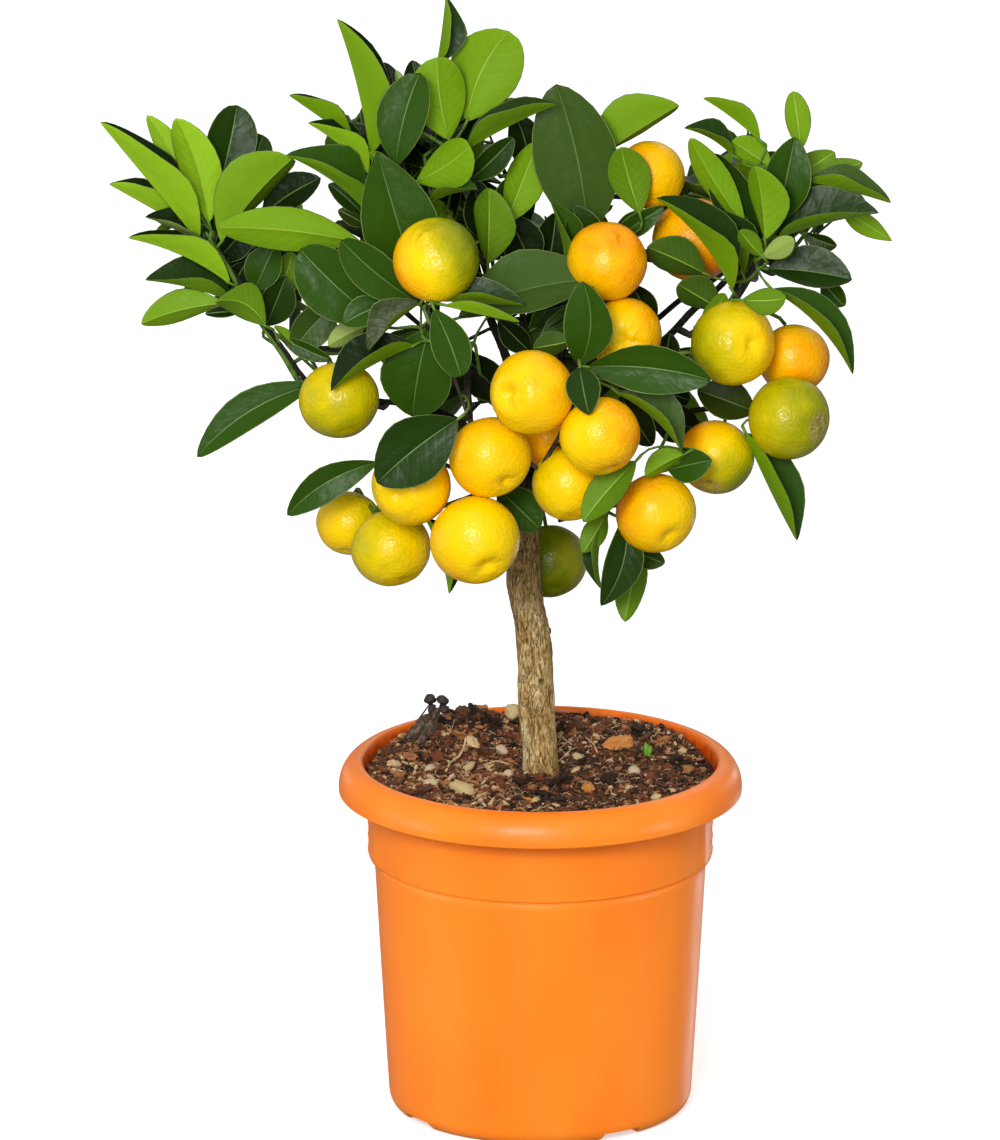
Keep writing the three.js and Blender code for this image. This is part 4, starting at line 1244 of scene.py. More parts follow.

# Every leaf that shows on the near side, by the shoot that carries it: where the blade's tip and
# foot lie on the sheet, its width in points, how far it is rolled (0 shows its top, 180 its
# underside, and about 60 to 90 one half of each), its fold, how far back its foot lies, how far its
# tip comes forward, its two tints, which partly paint the light and shade on it, and, where they
# matter, its bend to the right and how blunt its tip is (low for a round tip). Before the leaves
# come the shoot's stem and how far back it is.
SHOOTS = {
    "left_shoot": ([(300, 384), (284, 357), (264, 328), (246, 302), (235, 281), (226, 264),
                    (214, 247), (206, 232)], -8, [
        (100, 122, 199, 240, 38, 87, 40, -8, 4, "black", "lit", -0.03),
        (147, 115, 202, 217, 27, 160, 14, 4, -8, "dark", "lit"),
        (176, 118, 209, 223, 42, 160, 14, -6, 2, "dark", "lit"),
        (293, 158, 221, 242, 56, -132, 24, -12, -2, "dark", "bright", None, 0.45),
        (237, 105, 219, 186, 50, 12, 12, 6, -10, "deep", "light", None, 0.5),
        (263, 135, 244, 176, 30, 10, 14, 12, -12, "deep", "light", None, 0.5),
        (321, 178, 262, 216, 36, -20, 16, 12, 4, "black", "light"),
        (109, 184, 178, 222, 27, 84, 42, 2, 0, "black", "lit", -0.03),
        (145, 217, 203, 247, 32, 54, 46, -4, 8, "black", "pale"),
        (128, 238, 230, 283, 28, 87, 42, -10, 8, "black", "lit", -0.03),
        (145, 280, 232, 301, 36, 58, 44, -4, 10, "deep", "bright"),
        (141, 324, 224, 303, 31, 150, 22, -10, 6, "dark", "bright"),
        (205, 314, 240, 312, 12, 10, 20, -6, 4, "black", "dim"),
        (215, 302, 266, 326, 36, 160, 22, -16, 8, "dark", "light", 0.16, 0.95),
        (218, 228, 362, 243, 44, 170, 16, -26, 10, "dark", "bright"),
        (276, 244, 254, 291, 46, -14, 14, 8, 0, "dark", "light"),
        (293, 252, 276, 300, 30, 160, 14, 14, 0, "fresh", "light"),
        (286, 276, 266, 326, 36, 16, 16, 10, 4, "deep", "light"),
        (303, 206, 276, 220, 14, 150, 20, 6, 4, "dark", "light"),
        (208, 176, 214, 232, 30, 14, 14, 14, 0, "black", "dim"),
        (252, 218, 214, 262, 34, 14, 14, 16, 0, "black", "dim"),
        (246, 262, 226, 300, 30, 14, 14, 12, 0, "black", "dim"),
        (190, 250, 224, 268, 20, 160, 16, 10, 0, "dark", "dim"),
    ]),
    "left_low": ([(384, 408), (340, 396), (312, 384), (298, 378)], -14, [
        (197, 457, 318, 384, 32, 14, 14, -20, 8, "dark", "light", 0.07),
        (331, 391, 414, 345, 50, 60, 42, -50, 16, "black", "bright"),
        (292, 350, 338, 300, 38, -14, 14, 2, 4, "grey", "light"),
        (332, 360, 280, 336, 16, 20, 20, 0, 6, "dark", "light"),
        (274, 326, 298, 350, 9, 150, 30, -2, 4, "fresh", "bright"),
    ]),
    "top_left": ([(402, 250), (398, 214), (396, 180), (404, 150), (424, 124), (438, 96)], -6, [
        (337, 19, 371, 154, 40, 89, 40, -6, -6, "black", "bright", -0.03),
        (289, 95, 352, 138, 22, 87, 42, 2, -2, "black", "bright", -0.04),
        (308, 123, 368, 172, 34, 82, 42, -4, 4, "black", "lit", -0.03),
        (286, 155, 366, 210, 44, 64, 44, -10, 10, "dark", "bright"),
        (328, 184, 364, 216, 22, 20, 20, 6, 0, "deep", "dim"),
        (338, 210, 366, 226, 18, 10, 20, 8, 0, "olive", "dim"),
        (350, 122, 388, 176, 32, 14, 18, 8, 0, "black", "dim"),
        (321, 147, 352, 162, 12, 150, 20, 6, 0, "dark", "light"),
        (420, 73, 396, 166, 50, -16, 16, -24, -6, "dark", "light", None, 0.5),
        (377, 152, 418, 288, 76, 6, 12, -34, -2, "dark", "light", None, 0.86),
        (370, 152, 392, 176, 14, 170, 20, -24, 4, "dark", "light"),
        (446, -3, 438, 64, 47, 61, 46, 6, -10, "deep", "bright"),
        (509, 31, 467, 121, 76, 168, 10, -2, -8, "dark", "bright", -0.1, 0.5),
        (437, 57, 449, 140, 58, 190, 14, -12, -4, "dark", "bright", None, 0.5),
        (557, 104, 466, 149, 29, -78, 42, -10, 2, "deep", "light"),
        (514, 112, 530, 170, 36, 10, 16, 16, 6, "black", "dim"),
        (470, 146, 416, 182, 46, 166, 20, -22, 8, "dark", "bright", None, 0.5),
        (514, 137, 469, 181, 27, 14, 18, -6, 2, "deep", "light"),
        (478, 189, 428, 202, 36, -61, 44, -20, 8, "dark", "light"),
        (489, 188, 488, 264, 42, 150, 18, -14, 2, "dark", "light"),
        (538, 141, 506, 224, 40, 162, 14, -4, -4, "dark", "bright"),
        (508, 178, 500, 216, 24, 10, 14, 8, 0, "deep", "dim"),
        (384, 62, 392, 130, 30, 14, 18, 10, -8, "black", "light"),
        (412, 60, 420, 128, 32, 10, 16, 12, -8, "black", "light"),
        (396, 70, 404, 100, 10, 160, 16, 4, -4, "dark", "pale"),
        (474, 188, 484, 240, 36, 10, 14, 22, 0, "black", "dim"),
        (506, 214, 532, 272, 42, 10, 14, 10, 0, "black", "dim"),
    ]),
    "top_middle": ([(546, 440), (556, 380), (572, 310), (586, 250), (598, 216), (612, 190)], 10, [
        (556, 84, 588, 240, 84, -8, 8, 0, -4, "grey", "light", 0.04, 0.6),
        (679, 105, 592, 160, 46, -130, 28, 6, 2, "dark", "bright"),
        (621, 147, 640, 214, 42, 168, 12, -14, 2, "fresh", "light"),
        (664, 206, 612, 240, 22, 16, 14, -4, 6, "dark", "light"),
        (551, 203, 566, 260, 36, 57, 44, -24, 4, "dark", "light"),
        (572, 206, 592, 250, 40, 10, 14, -18, 4, "deep", "light"),
        (655, 320, 632, 284, 28, 10, 14, -20, 4, "black", "dim"),
        (556, 212, 546, 276, 40, 10, 14, 16, 0, "black", "dim"),
        (652, 214, 614, 232, 24, 0, 14, 6, 0, "deep", "dim"),
    ]),
    "middle_left": ([(470, 420), (452, 372), (438, 330), (428, 310)], -62, [
        (300, 249, 380, 322, 64, -10, 12, -40, -4, "dark", "light", None, 0.5),
        (341, 240, 417, 302, 42, -12, 14, -52, 4, "dark", "light", None, 0.5),
        (343, 324, 388, 304, 30, 14, 16, -50, 4, "dark", "light"),
        (368, 352, 421, 302, 50, 48, 42, -58, 6, "olive", "bright"),
        (413, 417, 430, 326, 74, 8, 10, -44, -2, "dark", "light"),
        (377, 483, 458, 419, 66, -4, 10, -90, 4, "deep", "light"),
        (602, 280, 458, 318, 60, -42, 10, -46, 4, "grey", "light"),
        (525, 305, 444, 300, 28, -60, 44, -62, 4, "deep", "bright", 0.05),
        (520, 322, 446, 305, 13, -88, 42, -72, 6, "dark", "bright", 0.09),
        (461, 377, 434, 309, 38, 0, 18, -74, 8, "dark", "light", None, 0.5),
        (328, 346, 366, 326, 22, 160, 20, -24, 2, "dark", "pale"),
        (533, 348, 574, 340, 24, 160, 16, -44, 4, "olive", "dim"),
        (506, 398, 464, 352, 40, 10, 14, -10, 0, "black", "dim"),
        (444, 400, 470, 350, 30, 10, 14, -16, 0, "black", "dim"),
        (530, 352, 498, 320, 26, 10, 14, -16, 0, "black", "dim"),
    ]),
    "middle_front": ([(540, 470), (562, 430), (576, 396), (582, 366)], -74, [
        (583, 281, 579, 365, 49, -12, 16, -66, 4, "dark", "light", 0.12),
        (711, 380, 588, 367, 48, 10, 16, -76, 8, "dark", "light", -0.05),
        (589, 415, 580, 367, 34, 0, 14, -96, 18, "deep", "light"),
        (682, 452, 618, 393, 50, -56, 44, -72, 6, "grey", "bright"),
        (697, 390, 756, 412, 40, 10, 16, -32, 0, "olive", "dim"),
        (652, 446, 620, 394, 32, 10, 14, -48, 0, "black", "dim"),
        (670, 333, 664, 366, 24, 10, 16, -24, 0, "black", "dim"),
        (700, 350, 664, 370, 24, 10, 16, -20, 0, "black", "dim"),
    ]),
    "low_left": ([(500, 520), (470, 480), (440, 462), (410, 450)], -46, [
        (287, 515, 378, 462, 34, -14, 14, -50, 4, "dark", "light", 0.1),
        (449, 594, 426, 518, 28, -66, 44, -60, 2, "deep", "bright"),
        (540, 529, 498, 488, 42, 0, 12, -44, 6, "dark", "light"),
    ]),
    "low_right": ([(560, 520), (590, 512), (612, 506), (640, 500), (660, 486)], -50, [
        (645, 476, 686, 453, 22, 150, 26, -70, 6, "dark", "bright"),
        (712, 460, 668, 470, 38, 0, 14, -62, 8, "dark", "light"),
        (583, 522, 636, 461, 34, 170, 12, -92, 2, "fresh", "light"),
        (583, 553, 606, 514, 24, 170, 14, -58, 2, "fresh", "light"),
        (602, 590, 606, 520, 18, 64, 44, -54, 2, "deep", "light"),
        (601, 606, 626, 514, 38, -8, 14, -58, 4, "deep", "light", -0.09, 0.85),
        (625, 622, 641, 546, 31, 166, 14, -46, 2, "fresh", "light"),
        (665, 563, 636, 550, 26, 10, 18, -40, 4, "dark", "light"),
    ]),
    "right_low": ([(650, 372), (690, 352), (722, 388), (742, 402)], -26, [
        (797, 541, 746, 433, 38, -60, 46, -42, 4, "dark", "bright", 0.06),
        (853, 375, 772, 289, 31, -62, 42, -36, 4, "dark", "light", -0.05),
        (690, 400, 650, 386, 34, 10, 14, -10, 0, "black", "dim"),
        (700, 430, 650, 410, 40, 10, 14, -16, 0, "black", "dim"),
    ]),
    "right_shoot": ([(690, 335), (722, 316), (738, 296), (750, 276), (758, 258), (762, 244)], -6, [
        (703, 98, 760, 140, 20, 89, 42, 2, -6, "black", "bright", -0.03),
        (793, 91, 801, 150, 25, 170, 14, 4, -10, "dark", "bright", None, 0.5),
        (684, 128, 734, 156, 22, 61, 42, -2, 2, "deep", "light"),
        (690, 138, 745, 226, 30, 160, 14, -12, 4, "dark", "bright"),
        (713, 153, 762, 240, 42, -10, 16, -6, -1, "deep", "light"),
        (732, 141, 772, 168, 30, 170, 12, -2, 0, "fresh", "bright", None, 0.5),
        (795, 137, 778, 224, 47, 6, 16, -14, -4, "dark", "light"),
        (755, 166, 765, 240, 38, 140, 20, -26, 4, "fresh", "bright"),
        (835, 152, 788, 184, 34, 160, 18, 0, -4, "dark", "light"),
        (863, 163, 800, 178, 24, 170, 20, -2, -2, "dark", "light"),
        (891, 203, 806, 180, 28, -66, 44, -8, 2, "grey", "bright"),
        (879, 213, 778, 237, 46, -57, 42, -14, 8, "deep", "bright"),
        (892, 241, 842, 211, 21, 176, 18, 0, 0, "dark", "bright", None, 0.95),
        (837, 246, 806, 234, 20, 30, 24, 0, 2, "deep", "light"),
        (740, 230, 763, 257, 20, 168, 18, -30, 4, "fresh", "light"),
        (794, 239, 762, 257, 22, 176, 18, -30, 6, "fresh", "pale"),
        (852, 280, 767, 269, 42, -30, 20, -16, 6, "deep", "light"),
        (845, 306, 822, 280, 22, 8, 18, -4, 4, "dark", "light"),
        (786, 298, 742, 300, 27, 172, 18, -54, 4, "fresh", "light"),
        (656, 198, 732, 290, 42, 68, 44, -34, 10, "deep", "bright"),
        (721, 211, 743, 274, 30, 60, 44, -20, 2, "deep", "light"),
        (647, 247, 706, 274, 38, 158, 20, -20, 6, "fresh", "dim"),
        (678, 284, 722, 310, 44, 160, 24, -26, 6, "fresh", "dim"),
        (726, 294, 700, 322, 20, 170, 20, -28, 4, "fresh", "light"),
    ]),
}


def shown(place):
    """The point of the sheet at which a place shows, and how far off it is."""
    off = place - EYE
    far = off.dot(SIGHT)
    span = STAND_OFF / far / POINT
    return SHEET[0] / 2 + off.x * span, SHEET[1] / 2 - off.dot(SKYWARD) * span, far


CELL = 5  # points; how finely what hides what is worked out
hidden_beyond = {}  # for each cell that a near leaf or fruit covers, how far off it is


def cell_of(place):
    """The cell in which a place shows, and how far off it is."""
    x, y, far = shown(place)
    return (int(x / CELL), int(y / CELL)), far


LEAF_CUP, LEAF_SLIM, LEAF_PLUMP = 22, 0.3, 0.8


def near_leaf(heap, rng, tip_x, tip_y, foot_x, foot_y, wide, roll, fold, back, near, top, under,
              bend=None, blunt=None):
    """Adds a leaf from its line in the table, and returns its stalk's end and the way it grows."""
    foot, tip = spot(foot_x, foot_y, back), spot(tip_x, tip_y, back - near)
    along = (tip - foot).normalized()
    side = along.cross(-SIGHT).normalized()
    towards = side.cross(along)
    turn = math.radians(roll)
    seen = [across_blade(v / 4, fold, LEAF_CUP) for v in range(-4, 5)]
    seen = [x * math.cos(turn) + z * math.sin(turn) for x, z in seen]
    length = (tip - foot).length
    width = 2 * wide * POINT / (max(seen) - min(seen))
    width = min(max(width, LEAF_SLIM * length), LEAF_PLUMP * length)
    bow = side * bend if bend else None
    top_side = towards * math.cos(turn) + side * math.sin(turn)
    first = len(heap.faces)
    heel = leaf(heap, rng, foot, tip, top_side, width, fold, LEAF_CUP, top, under, None, bow,
                blunt=blunt)
    for face in heap.faces[first:]:
        corners = [heap.points[i] for i in face]
        middle = sum(corners, Vector()) / len(corners)
        for p in corners:
            for share in (0.5, 1):
                cell, far = cell_of(middle.lerp(p, share))
                hidden_beyond[cell] = max(far, hidden_beyond.get(cell, 0))
    return heel, (tip - foot).normalized()


RIGHT_FROM = 520  # the point across the sheet from which leaves belong to the right
sprays = {"left": Heap(), "right": Heap(), "back": Heap()}
rng = Random(100)
for name, (stem, stem_back, lines) in SHOOTS.items():
    stem_points = smooth_path([spot(x, y, stem_back) for x, y in stem], TWIG_STEP)
    last = crown.reach(stem_points[0], green=name.endswith("shoot"))
    for p in stem_points[1:]:
        last = crown.add(p, last, None, name.endswith("shoot"))
    crown.carry(last, 0.5)
    heels = []
    for line in lines:
        heels.append(near_leaf(sprays["left" if line[2] < RIGHT_FROM else "right"], rng, *line))
    heels.sort(key=lambda h: min((h[0] - p).length for p in stem_points))
    for heel, heading in heels:
        crown.reach(heel, heading, True)


def ball_cells(centre, radius):
    """The cells that a ball covers, and how far off its middle is."""
    x, y, far = shown(centre)
    across = int(radius / POINT / CELL)
    return [(int(x / CELL) + i, int(y / CELL) + j) for i in range(-across, across + 1)
            for j in range(-across, across + 1) if i * i + j * j <= across * across], far


for centre, radius, _ in fruits:
    cells, far = ball_cells(centre, radius)
    for cell in cells:
        hidden_beyond[cell] = max(far, hidden_beyond.get(cell, 0))


def is_hidden(centre, radius):
    """Whether the whole of a ball is hidden by what is on the near side."""
    cells, far = ball_cells(centre, radius)
    return all(hidden_beyond.get(cell, far) < far - radius for cell in cells)


# More fruit hangs on the far side, where the near side hides it.
FAR_FRUIT_TRIES, FAR_FRUIT_MOST = 5000, 12
FAR_FRUIT_RING, FAR_FRUIT_MIDDLE = (118, 92), (-8, 26)
FAR_FRUIT_HIGH = 298, 415
FAR_FRUIT_SIZE = 17.0, 19.8
FAR_FRUIT_GAP, FAR_FRUIT_COVER = 3, 4
back_peels = Heap()
rng = Random(78)
for _ in range(FAR_FRUIT_TRIES):
    turn, out = math.radians(rng.uniform(-15, 195)), rng.uniform(0.7, 1)
    centre = Vector((FAR_FRUIT_RING[0] * out * math.cos(turn) + FAR_FRUIT_MIDDLE[0],
                     FAR_FRUIT_RING[1] * out * math.sin(turn) + FAR_FRUIT_MIDDLE[1],
                     rng.uniform(*FAR_FRUIT_HIGH)))
    radius = rng.uniform(*FAR_FRUIT_SIZE)
    apart = min((centre - other).length - radius - size for other, size, _ in fruits)
    if apart < FAR_FRUIT_GAP or not is_hidden(centre, radius + FAR_FRUIT_COVER):
        continue
    blossom = Vector((rng.uniform(-0.5, 0.5), rng.uniform(-0.2, 0.6), -1))
    lean = Vector((rng.uniform(-0.15, 0.15), rng.uniform(-0.15, 0.15), 0.1))
    ripeness, dimple = rng.uniform(0.4, 0.92), rng.uniform(0.4, 0.9)
    fruit(back_peels, centre, radius, blossom, ripeness, lean, dimple, 0.0)
    if len(back_peels.points) == FAR_FRUIT_MOST * len(BALL_POINTS):
        break
back_peels.piece("fruit_behind", [peel_look], "foliage", mark="peel", map_name="OFBake")

# ------------------------------------------------------------------ the rest of the crown
# Behind the near leaves, the boughs carry on in shoots of up to nine leaves, each turned a
# golden angle from the last, so that the crown is full from all sides. From the front they show
# only where the crown is dark inside, and leave it open where the sky shows through.
DARK_INSIDE = (  # rings on the sheet round the places where leaves show in the crown's depth
    ((240, 245), (330, 245), (372, 300), (385, 345), (330, 362), (285, 350), (262, 322),
     (245, 290)),
    ((352, 112), (398, 82), (440, 75), (470, 120), (500, 140), (512, 168), (540, 160), (548, 220),
     (560, 262), (480, 270), (430, 230), (375, 250), (362, 200), (345, 150)),
    ((548, 205), (615, 195), (625, 230), (636, 300), (655, 345), (700, 352), (705, 440), (640, 448),
     (600, 400), (560, 360), (520, 345), (500, 325), (530, 300), (555, 262)),
    ((700, 150), (745, 150), (800, 150), (845, 190), (835, 235), (790, 240), (770, 290), (735, 295),
     (705, 270), (700, 240), (680, 220), (660, 205)),
    ((385, 330), (440, 320), (470, 350), (500, 352), (500, 400), (470, 424), (460, 440), (530, 470),
     (548, 440), (548, 530), (500, 520), (480, 500), (440, 470), (400, 420)),
    ((590, 400), (700, 400), (720, 440), (700, 480), (660, 476), (640, 462), (610, 470)),
)
SKY = (  # points and sizes of the gaps through which the sky shows
    (492, 337, 12), (462, 402, 8), (676, 312, 18), (656, 448, 12), (648, 225, 8), (530, 126, 12),
    (504, 164, 11), (493, 177, 8), (712, 392, 12), (730, 396, 10), (295, 366, 12), (658, 290, 9),
    (640, 212, 6),
)
MASSES = {  # leafy masses beyond the near side: middle, half extent and number of shoots tried
    "left_shoot": ((-158, 8, 424), (34, 36, 36), 240),
    "left_low": ((-112, -10, 356), (36, 30, 24), 150),
    "top_left": ((-62, 8, 470), (44, 40, 42), 260),
    "top_middle": ((26, 20, 448), (38, 36, 36), 240),
    "right_shoot": ((110, 6, 426), (42, 42, 38), 280),
    "middle": ((0, 10, 390), (70, 40, 40), 360),
    "front": ((10, -36, 350), (84, 30, 44), 260),
    "right_low": ((106, -10, 352), (32, 34, 34), 160),
    "back_left": ((-94, 80, 400), (48, 48, 46), 110),
    "back_top": ((-6, 92, 424), (46, 46, 42), 110),
    "back_right": ((88, 80, 390), (46, 48, 46), 110),
    "back_low": ((-10, 80, 338), (60, 44, 40), 90),
}


def inside(x, y, ring):
    """Whether point x, y of the sheet lies inside a ring of such points."""
    odd = False
    for (ax, ay), (bx, by) in zip(ring, ring[1:] + ring[:1]):
        if (ay > y) != (by > y) and x < (bx - ax) * (y - ay) / (by - ay) + ax:
            odd = not odd
    return odd


def may_show(place, slack):
    """Whether a leaf may be at a place: hidden by the near side, or in the crown's dark depth."""
    x, y, far = shown(place)
    if any(math.hypot(x - sx, y - sy) < size for sx, sy, size in SKY):
        return False
    column, row = int(x / CELL), int(y / CELL)
    if far <= hidden_beyond.get((column, row), 0) + slack:
        return False
    if any(inside(x, y, ring) for ring in DARK_INSIDE):
        return True
    around = (0, 0), (1, 0), (-1, 0), (0, 1), (0, -1)
    return all((column + i, row + j) in hidden_beyond for i, j in around)


ROOM = 2.0  # how far the crown may grow beyond the solid that it stands for
LOWEST_LEAF, FRUIT_CLEAR, LEAF_SLACK = 262, 1, 1.5
BOX = [[v / MM for v in corner] for corner in CAD_BOX]
BLADE_CHECKS = (  # where a blade is looked at: share of its length, and of its width to each side
    (0.05, 0), (0.15, 0.3), (0.3, 0.42), (0.45, 0.5), (0.5, 0), (0.6, 0.48), (0.75, 0.38),
    (0.88, 0.25), (1, 0),
)


def clear_of_fruit(place):
    """Whether a place in the crown is outside every fruit."""
    return all((place - centre).length >= radius + FRUIT_CLEAR for centre, radius, _ in fruits)


def in_box(place):
    """Whether a place is within the solids' box, or close by."""
    return all(low - ROOM < v < high + ROOM for low, v, high in zip(BOX[0], place, BOX[1]))


def leaf_fits(foot, tip, side, width):
    """Whether a blade is clear of the fruit and the trunk, and keeps to where it may show."""
    return all(p.z >= LOWEST_LEAF and in_box(p) and clear_of_fruit(p) and may_show(p, LEAF_SLACK)
               for u, v in BLADE_CHECKS
               for p in (foot.lerp(tip, u) - side * v * width, foot.lerp(tip, u) + side * v * width))


CROWN_HEART = Vector((-4, 6, 350))
SHOOT_GAP = 13.0
GOLDEN_ANGLE = 137.5
FEWEST_LEAVES = 2
BACK_BEYOND = 40  # world Y from which a shoot belongs to the back
LIT_BEYOND = 30  # world Y from which leaves take lighter tints; nearer ones, in the crown's dark depth, take darker tints as painted shade
shoot_feet = []
rng = Random(2024)
for name, (middle, half, tries) in MASSES.items():
    middle = Vector(middle)
    for _ in range(tries):
        while True:
            share = Vector([rng.uniform(-1, 1) for _ in range(3)])
            if share.length < 1:
                break
        foot = middle + Vector([a * b for a, b in zip(share, half)]) * 0.8
        if min([(foot - other).length for other in shoot_feet], default=99) < SHOOT_GAP:
            continue
        wood_near = min(crown.at, key=lambda p: (p - foot).length)
        if not all(may_show(wood_near.lerp(foot, share_on), 0) for share_on in (0.3, 0.6, 1)):
            continue
        outward = (foot - CROWN_HEART).normalized()
        grows = (outward + share * 0.6 + Vector((0, 0, 0.45))).normalized()
        grows = (grows + Vector([rng.gauss(0, 0.25) for _ in range(3)])).normalized()
        count, long = rng.randint(6, 9), rng.uniform(24, 42)
        spin = rng.uniform(0, 2 * math.pi)
        across = grows.orthogonal().normalized()
        aside = grows.cross(across)
        leaves = []
        for k in range(count):
            turn = spin + k * math.radians(GOLDEN_ANGLE)
            outwards = across * math.cos(turn) + aside * math.sin(turn)
            last_one = k == count - 1
            lean = math.radians(12 if last_one else rng.uniform(48, 66) - 16 * k / count)
            way = (grows * math.cos(lean) + outwards * math.sin(lean)).normalized()
            way = (way + Vector((0, 0, -0.12))).normalized()
            size = rng.uniform(34, 54) * (0.8 if k > count - 3 else 1)
            start = foot + grows * long * (k + 0.6) / count
            blade_foot = start + way * 3.5
            tip = blade_foot + way * size
            top_side = (grows - way * grows.dot(way)).normalized()
            width = size * rng.uniform(0.42, 0.5)
            side = way.cross(top_side).normalized()
            if may_show(start, 0) and leaf_fits(blade_foot, tip, side, width):
                leaves.append((start, blade_foot, tip, top_side, width))
        if len(leaves) < FEWEST_LEAVES:
            continue
        shoot_feet.append(foot)
        long = max((start - foot).length for start, *_ in leaves) + 1
        last = crown.reach(foot, grows, load=1)
        stem = {0: last}
        steps = max(1, round(long / TWIG_STEP))
        for i in range(1, steps + 1):
            last = crown.add(foot + grows * long * i / steps, last, None, True)
            stem[i] = last
        for start, blade_foot, tip, top_side, width in leaves:
            up_stem = min(steps, round((start - foot).length / long * steps))
            heap = sprays["back" if foot.y > BACK_BEYOND else "left" if foot.x < 0 else "right"]
            # Leaves in the crown's depth get the darker tints and dim undersides: painted shade.
            top = rng.choice(("deep", "deep", "dark", "dark", "black", "grey"))
            if foot.y < LIT_BEYOND:
                top = rng.choice(("deep", "black", "black", "dark"))
            outside = foot.y > LIT_BEYOND
            under = rng.choice(("light", "dim", "bright") if outside else ("dim", "dim", "light"))
            leaf(heap, rng, blade_foot, tip, top_side, width, rng.uniform(8, 20), 20, top, under,
                 rng.uniform(-0.06, 0.03), None, 3.5, 7, False)
            crown.carry(stem[up_stem])

FRUIT_STALK, FRUIT_LOAD = 3, 4
for centre, radius, stalk in fruits:
    stalk_end = centre + stalk * (radius * FRUIT_SQUAT + FRUIT_STALK)
    crown.reach(stalk_end, -stalk, True, FRUIT_LOAD, centre)

# ------------------------------------------------------------------ twigs
# The twigs that carry all this: each as thick as its load of leaves and fruit needs, brown where
# it is old and green where it grew this year, with a green calyx where a fruit hangs on it.
TWIG_TIP, TWIG_MOST, LOAD_POWER = 0.6, 2.0, 0.34
TWIG_SIDES, CALYX_SIDES = 7, 10
YOUNG_LOAD = 24  # the load under which a green twig has not turned brown
CALYX_SUNK = 0.085
CALYX = ((0, 2.7), (0.9, 2.9), (1.6, 1.7), (4, 0.9))  # how far out along the stalk, and radius
twigs = Heap()
branches = {i: [] for i in range(len(crown.at))}
for i, parent in enumerate(crown.parent):
    if parent is not None:
        branches[parent].append(i)


def twig_radius(i):
    """A growing point's radius: its bough's, or as thick as its load needs."""
    if crown.thick[i]:
        return crown.thick[i] * 0.6
    return min(TWIG_MOST, TWIG_TIP * max(1, crown.load[i]) ** LOAD_POWER)


OLD_WOOD, GREEN_WOOD = 0, 1
for i, parent in enumerate(crown.parent):
    if parent is None or crown.thick[i]:
        continue
    main = max((b for b in branches[parent] if not crown.thick[b]), key=lambda b: crown.load[b])
    if crown.thick[parent] is None and main == i:
        continue  # goes on from a longer twig
    chain = [parent, i]
    while branches[chain[-1]]:
        chain.append(max(branches[chain[-1]], key=lambda b: crown.load[b]))
    radii = [twig_radius(k) for k in chain]
    radii[0] = min(radii[0], radii[1] * 1.25)
    young = crown.green[chain[1]] and crown.load[chain[1]] < YOUNG_LOAD
    tube(twigs, [crown.at[k] for k in chain], radii, TWIG_SIDES, GREEN_WOOD if young else OLD_WOOD)
for centre, radius, stalk in fruits:
    seat = centre + stalk * radius * (FRUIT_SQUAT - CALYX_SUNK)
    path = [seat + stalk * out for out, _ in CALYX]
    tube(twigs, path, [thick for _, thick in CALYX], CALYX_SIDES, GREEN_WOOD)

old_twig = shader("twig_old_bark", (34, 32, 20), 0.75)
link(old_twig, ramp(old_twig, grain(old_twig, 1.4, 4, (1, 1, 0.3)), (0.35, (15, 14, 9)),
                    (0.5, (34, 31, 20)), (0.66, (58, 52, 34))), "Base Color")
green_twig = shader("twig_green", (76, 108, 20), 0.5)
link(green_twig, ramp(green_twig, grain(green_twig, 2.5, 3), (0.3, (54, 84, 14)),
                      (0.7, (96, 130, 26))), "Base Color")
for made, depth in ((old_twig, 0.35), (green_twig, 0.12)):
    worn(made, 1.5, 3, 0.5, 0.8)
    relief(made, grain(made, 0.8, 4, (1, 1, 0.3)), depth, 0.9)
twigs.piece("twigs_and_stalks", [old_twig, green_twig], "green_stem")

LEAVES_REPLACE = {
    "left": ("leaves_left_shoot", "leaves_left_low", "leaves_top_left", "leaves_middle_left",
             "leaves_low_left"),
    "right": ("leaves_top_middle", "leaves_right_shoot", "leaves_middle_front",
              "leaves_low_right", "leaves_right_low"),
    "back": ("leaves_back_left", "leaves_back_top", "leaves_back_right", "leaves_back_low"),
}
for name, heap in sprays.items():
    leaves = heap.piece("leaves_" + name, leaf_looks, "foliage", map_name="blade")
    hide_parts(*LEAVES_REPLACE[name])

# ------------------------------------------------------------------ floor, light and lens
# The pot stands on a plain pale floor in soft studio light: one light beside the lens, a little
# above it, and pale surroundings. The lens is long, so that the tree stands nearly in parallel.
FLOOR_SIZE = 60.0
alone()
bpy.ops.mesh.primitive_plane_add(size=FLOOR_SIZE, location=(0, 0, 0))
ground = bpy.context.object
ground.name = ground.data.name = "floor"
ground.data.materials.append(shader(
    "floor_paper", (246, 246, 246), 0.9, Specular_IOR_Level=0.0, Emission_Color=(1, 1, 1, 1),
    Emission_Strength=0.5))
ground.visible_diffuse = False
ground.visible_glossy = False
ground.visible_shadow = False

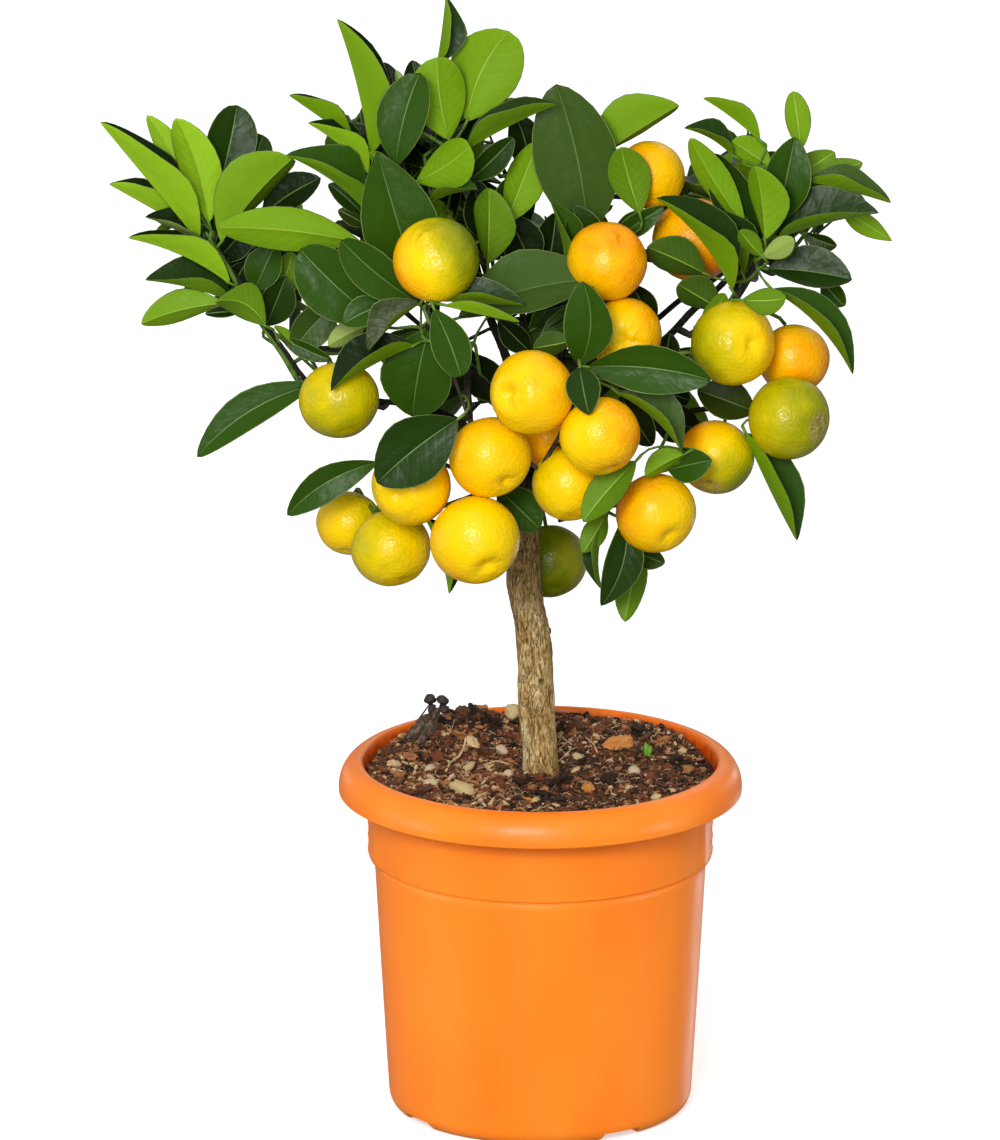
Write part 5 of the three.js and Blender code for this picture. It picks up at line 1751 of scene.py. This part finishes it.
world = bpy.data.worlds.new("studio")
bpy.context.scene.world = world
world.use_nodes = True
around = node(world, "ShaderNodeTexCoord").outputs["Generated"]
height = spread(world, parts_of(world, around)["Z"], -1.0, 1.0)
dome = ramp(world, height, *((place, (grey, grey, grey)) for place, grey in (
    (0.4, 134), (0.5, 156), (0.75, 182), (1.0, 196))))
world.node_tree.links.new(dome, world.node_tree.nodes["Background"].inputs["Color"])


def soft_light(name, azimuth, elevation, distance, size, power, aim=AIM, spread=180):
    """A square area light that faces the plant's middle or another place. Its distance and size
    are in metres."""
    data = bpy.data.lights.new(name, "AREA")
    data.size, data.energy, data.spread = size, power, math.radians(spread)
    lamp = bpy.data.objects.new(name, data)
    a, e = math.radians(azimuth), math.radians(elevation)
    back = Vector((math.sin(a) * math.cos(e), -math.cos(a) * math.cos(e), math.sin(e)))
    lamp.location = aim * MM + back * distance
    lamp.rotation_euler = back.to_track_quat("Z", "Y").to_euler()
    lamp.visible_camera = False
    bpy.context.collection.objects.link(lamp)


POT_WALL, POT_MIDDLE, NARROW = Vector((0, 0, 62)), Vector((0, 0, 90)), 14
soft_light("key", -10, 26, 2.4, 0.8, 36)
soft_light("glint", -10, 26, 2.4, 0.24, 5.5)
soft_light("low", -4, 4, 2.4, 1.2, 9)
soft_light("left", -85, 4, 2.4, 1.4, 6)
soft_light("pot_left", -72, 2, 1.0, 0.22, 0.035, POT_WALL, NARROW)
soft_light("pot_right", 72, 2, 1.0, 0.22, 0.045, POT_WALL, NARROW)
soft_light("rim_left", -150, 4, 1.2, 0.3, 0.006, POT_MIDDLE, NARROW)
soft_light("rim_right", 150, 4, 1.2, 0.3, 0.014, POT_MIDDLE, NARROW)
soft_light("edge_right", 150, -18, 1.2, 0.4, 0.013, POT_MIDDLE, NARROW)
soft_light("top", 10, 75, 2.4, 1.6, 5)
soft_light("back", 168, 35, 2.6, 1.6, 8)
bpy.context.scene.view_settings.view_transform = "Standard"

lens = bpy.data.cameras.new("view")
lens.sensor_width = 36
lens.lens = lens.sensor_width * STAND_OFF / (SHEET[1] * POINT)
lens.clip_end = 60
view = bpy.data.objects.new("view", lens)
view.location = EYE * MM
view.rotation_euler = (math.pi / 2 - RISE, 0, 0)
bpy.context.collection.objects.link(view)
bpy.context.scene.camera = view
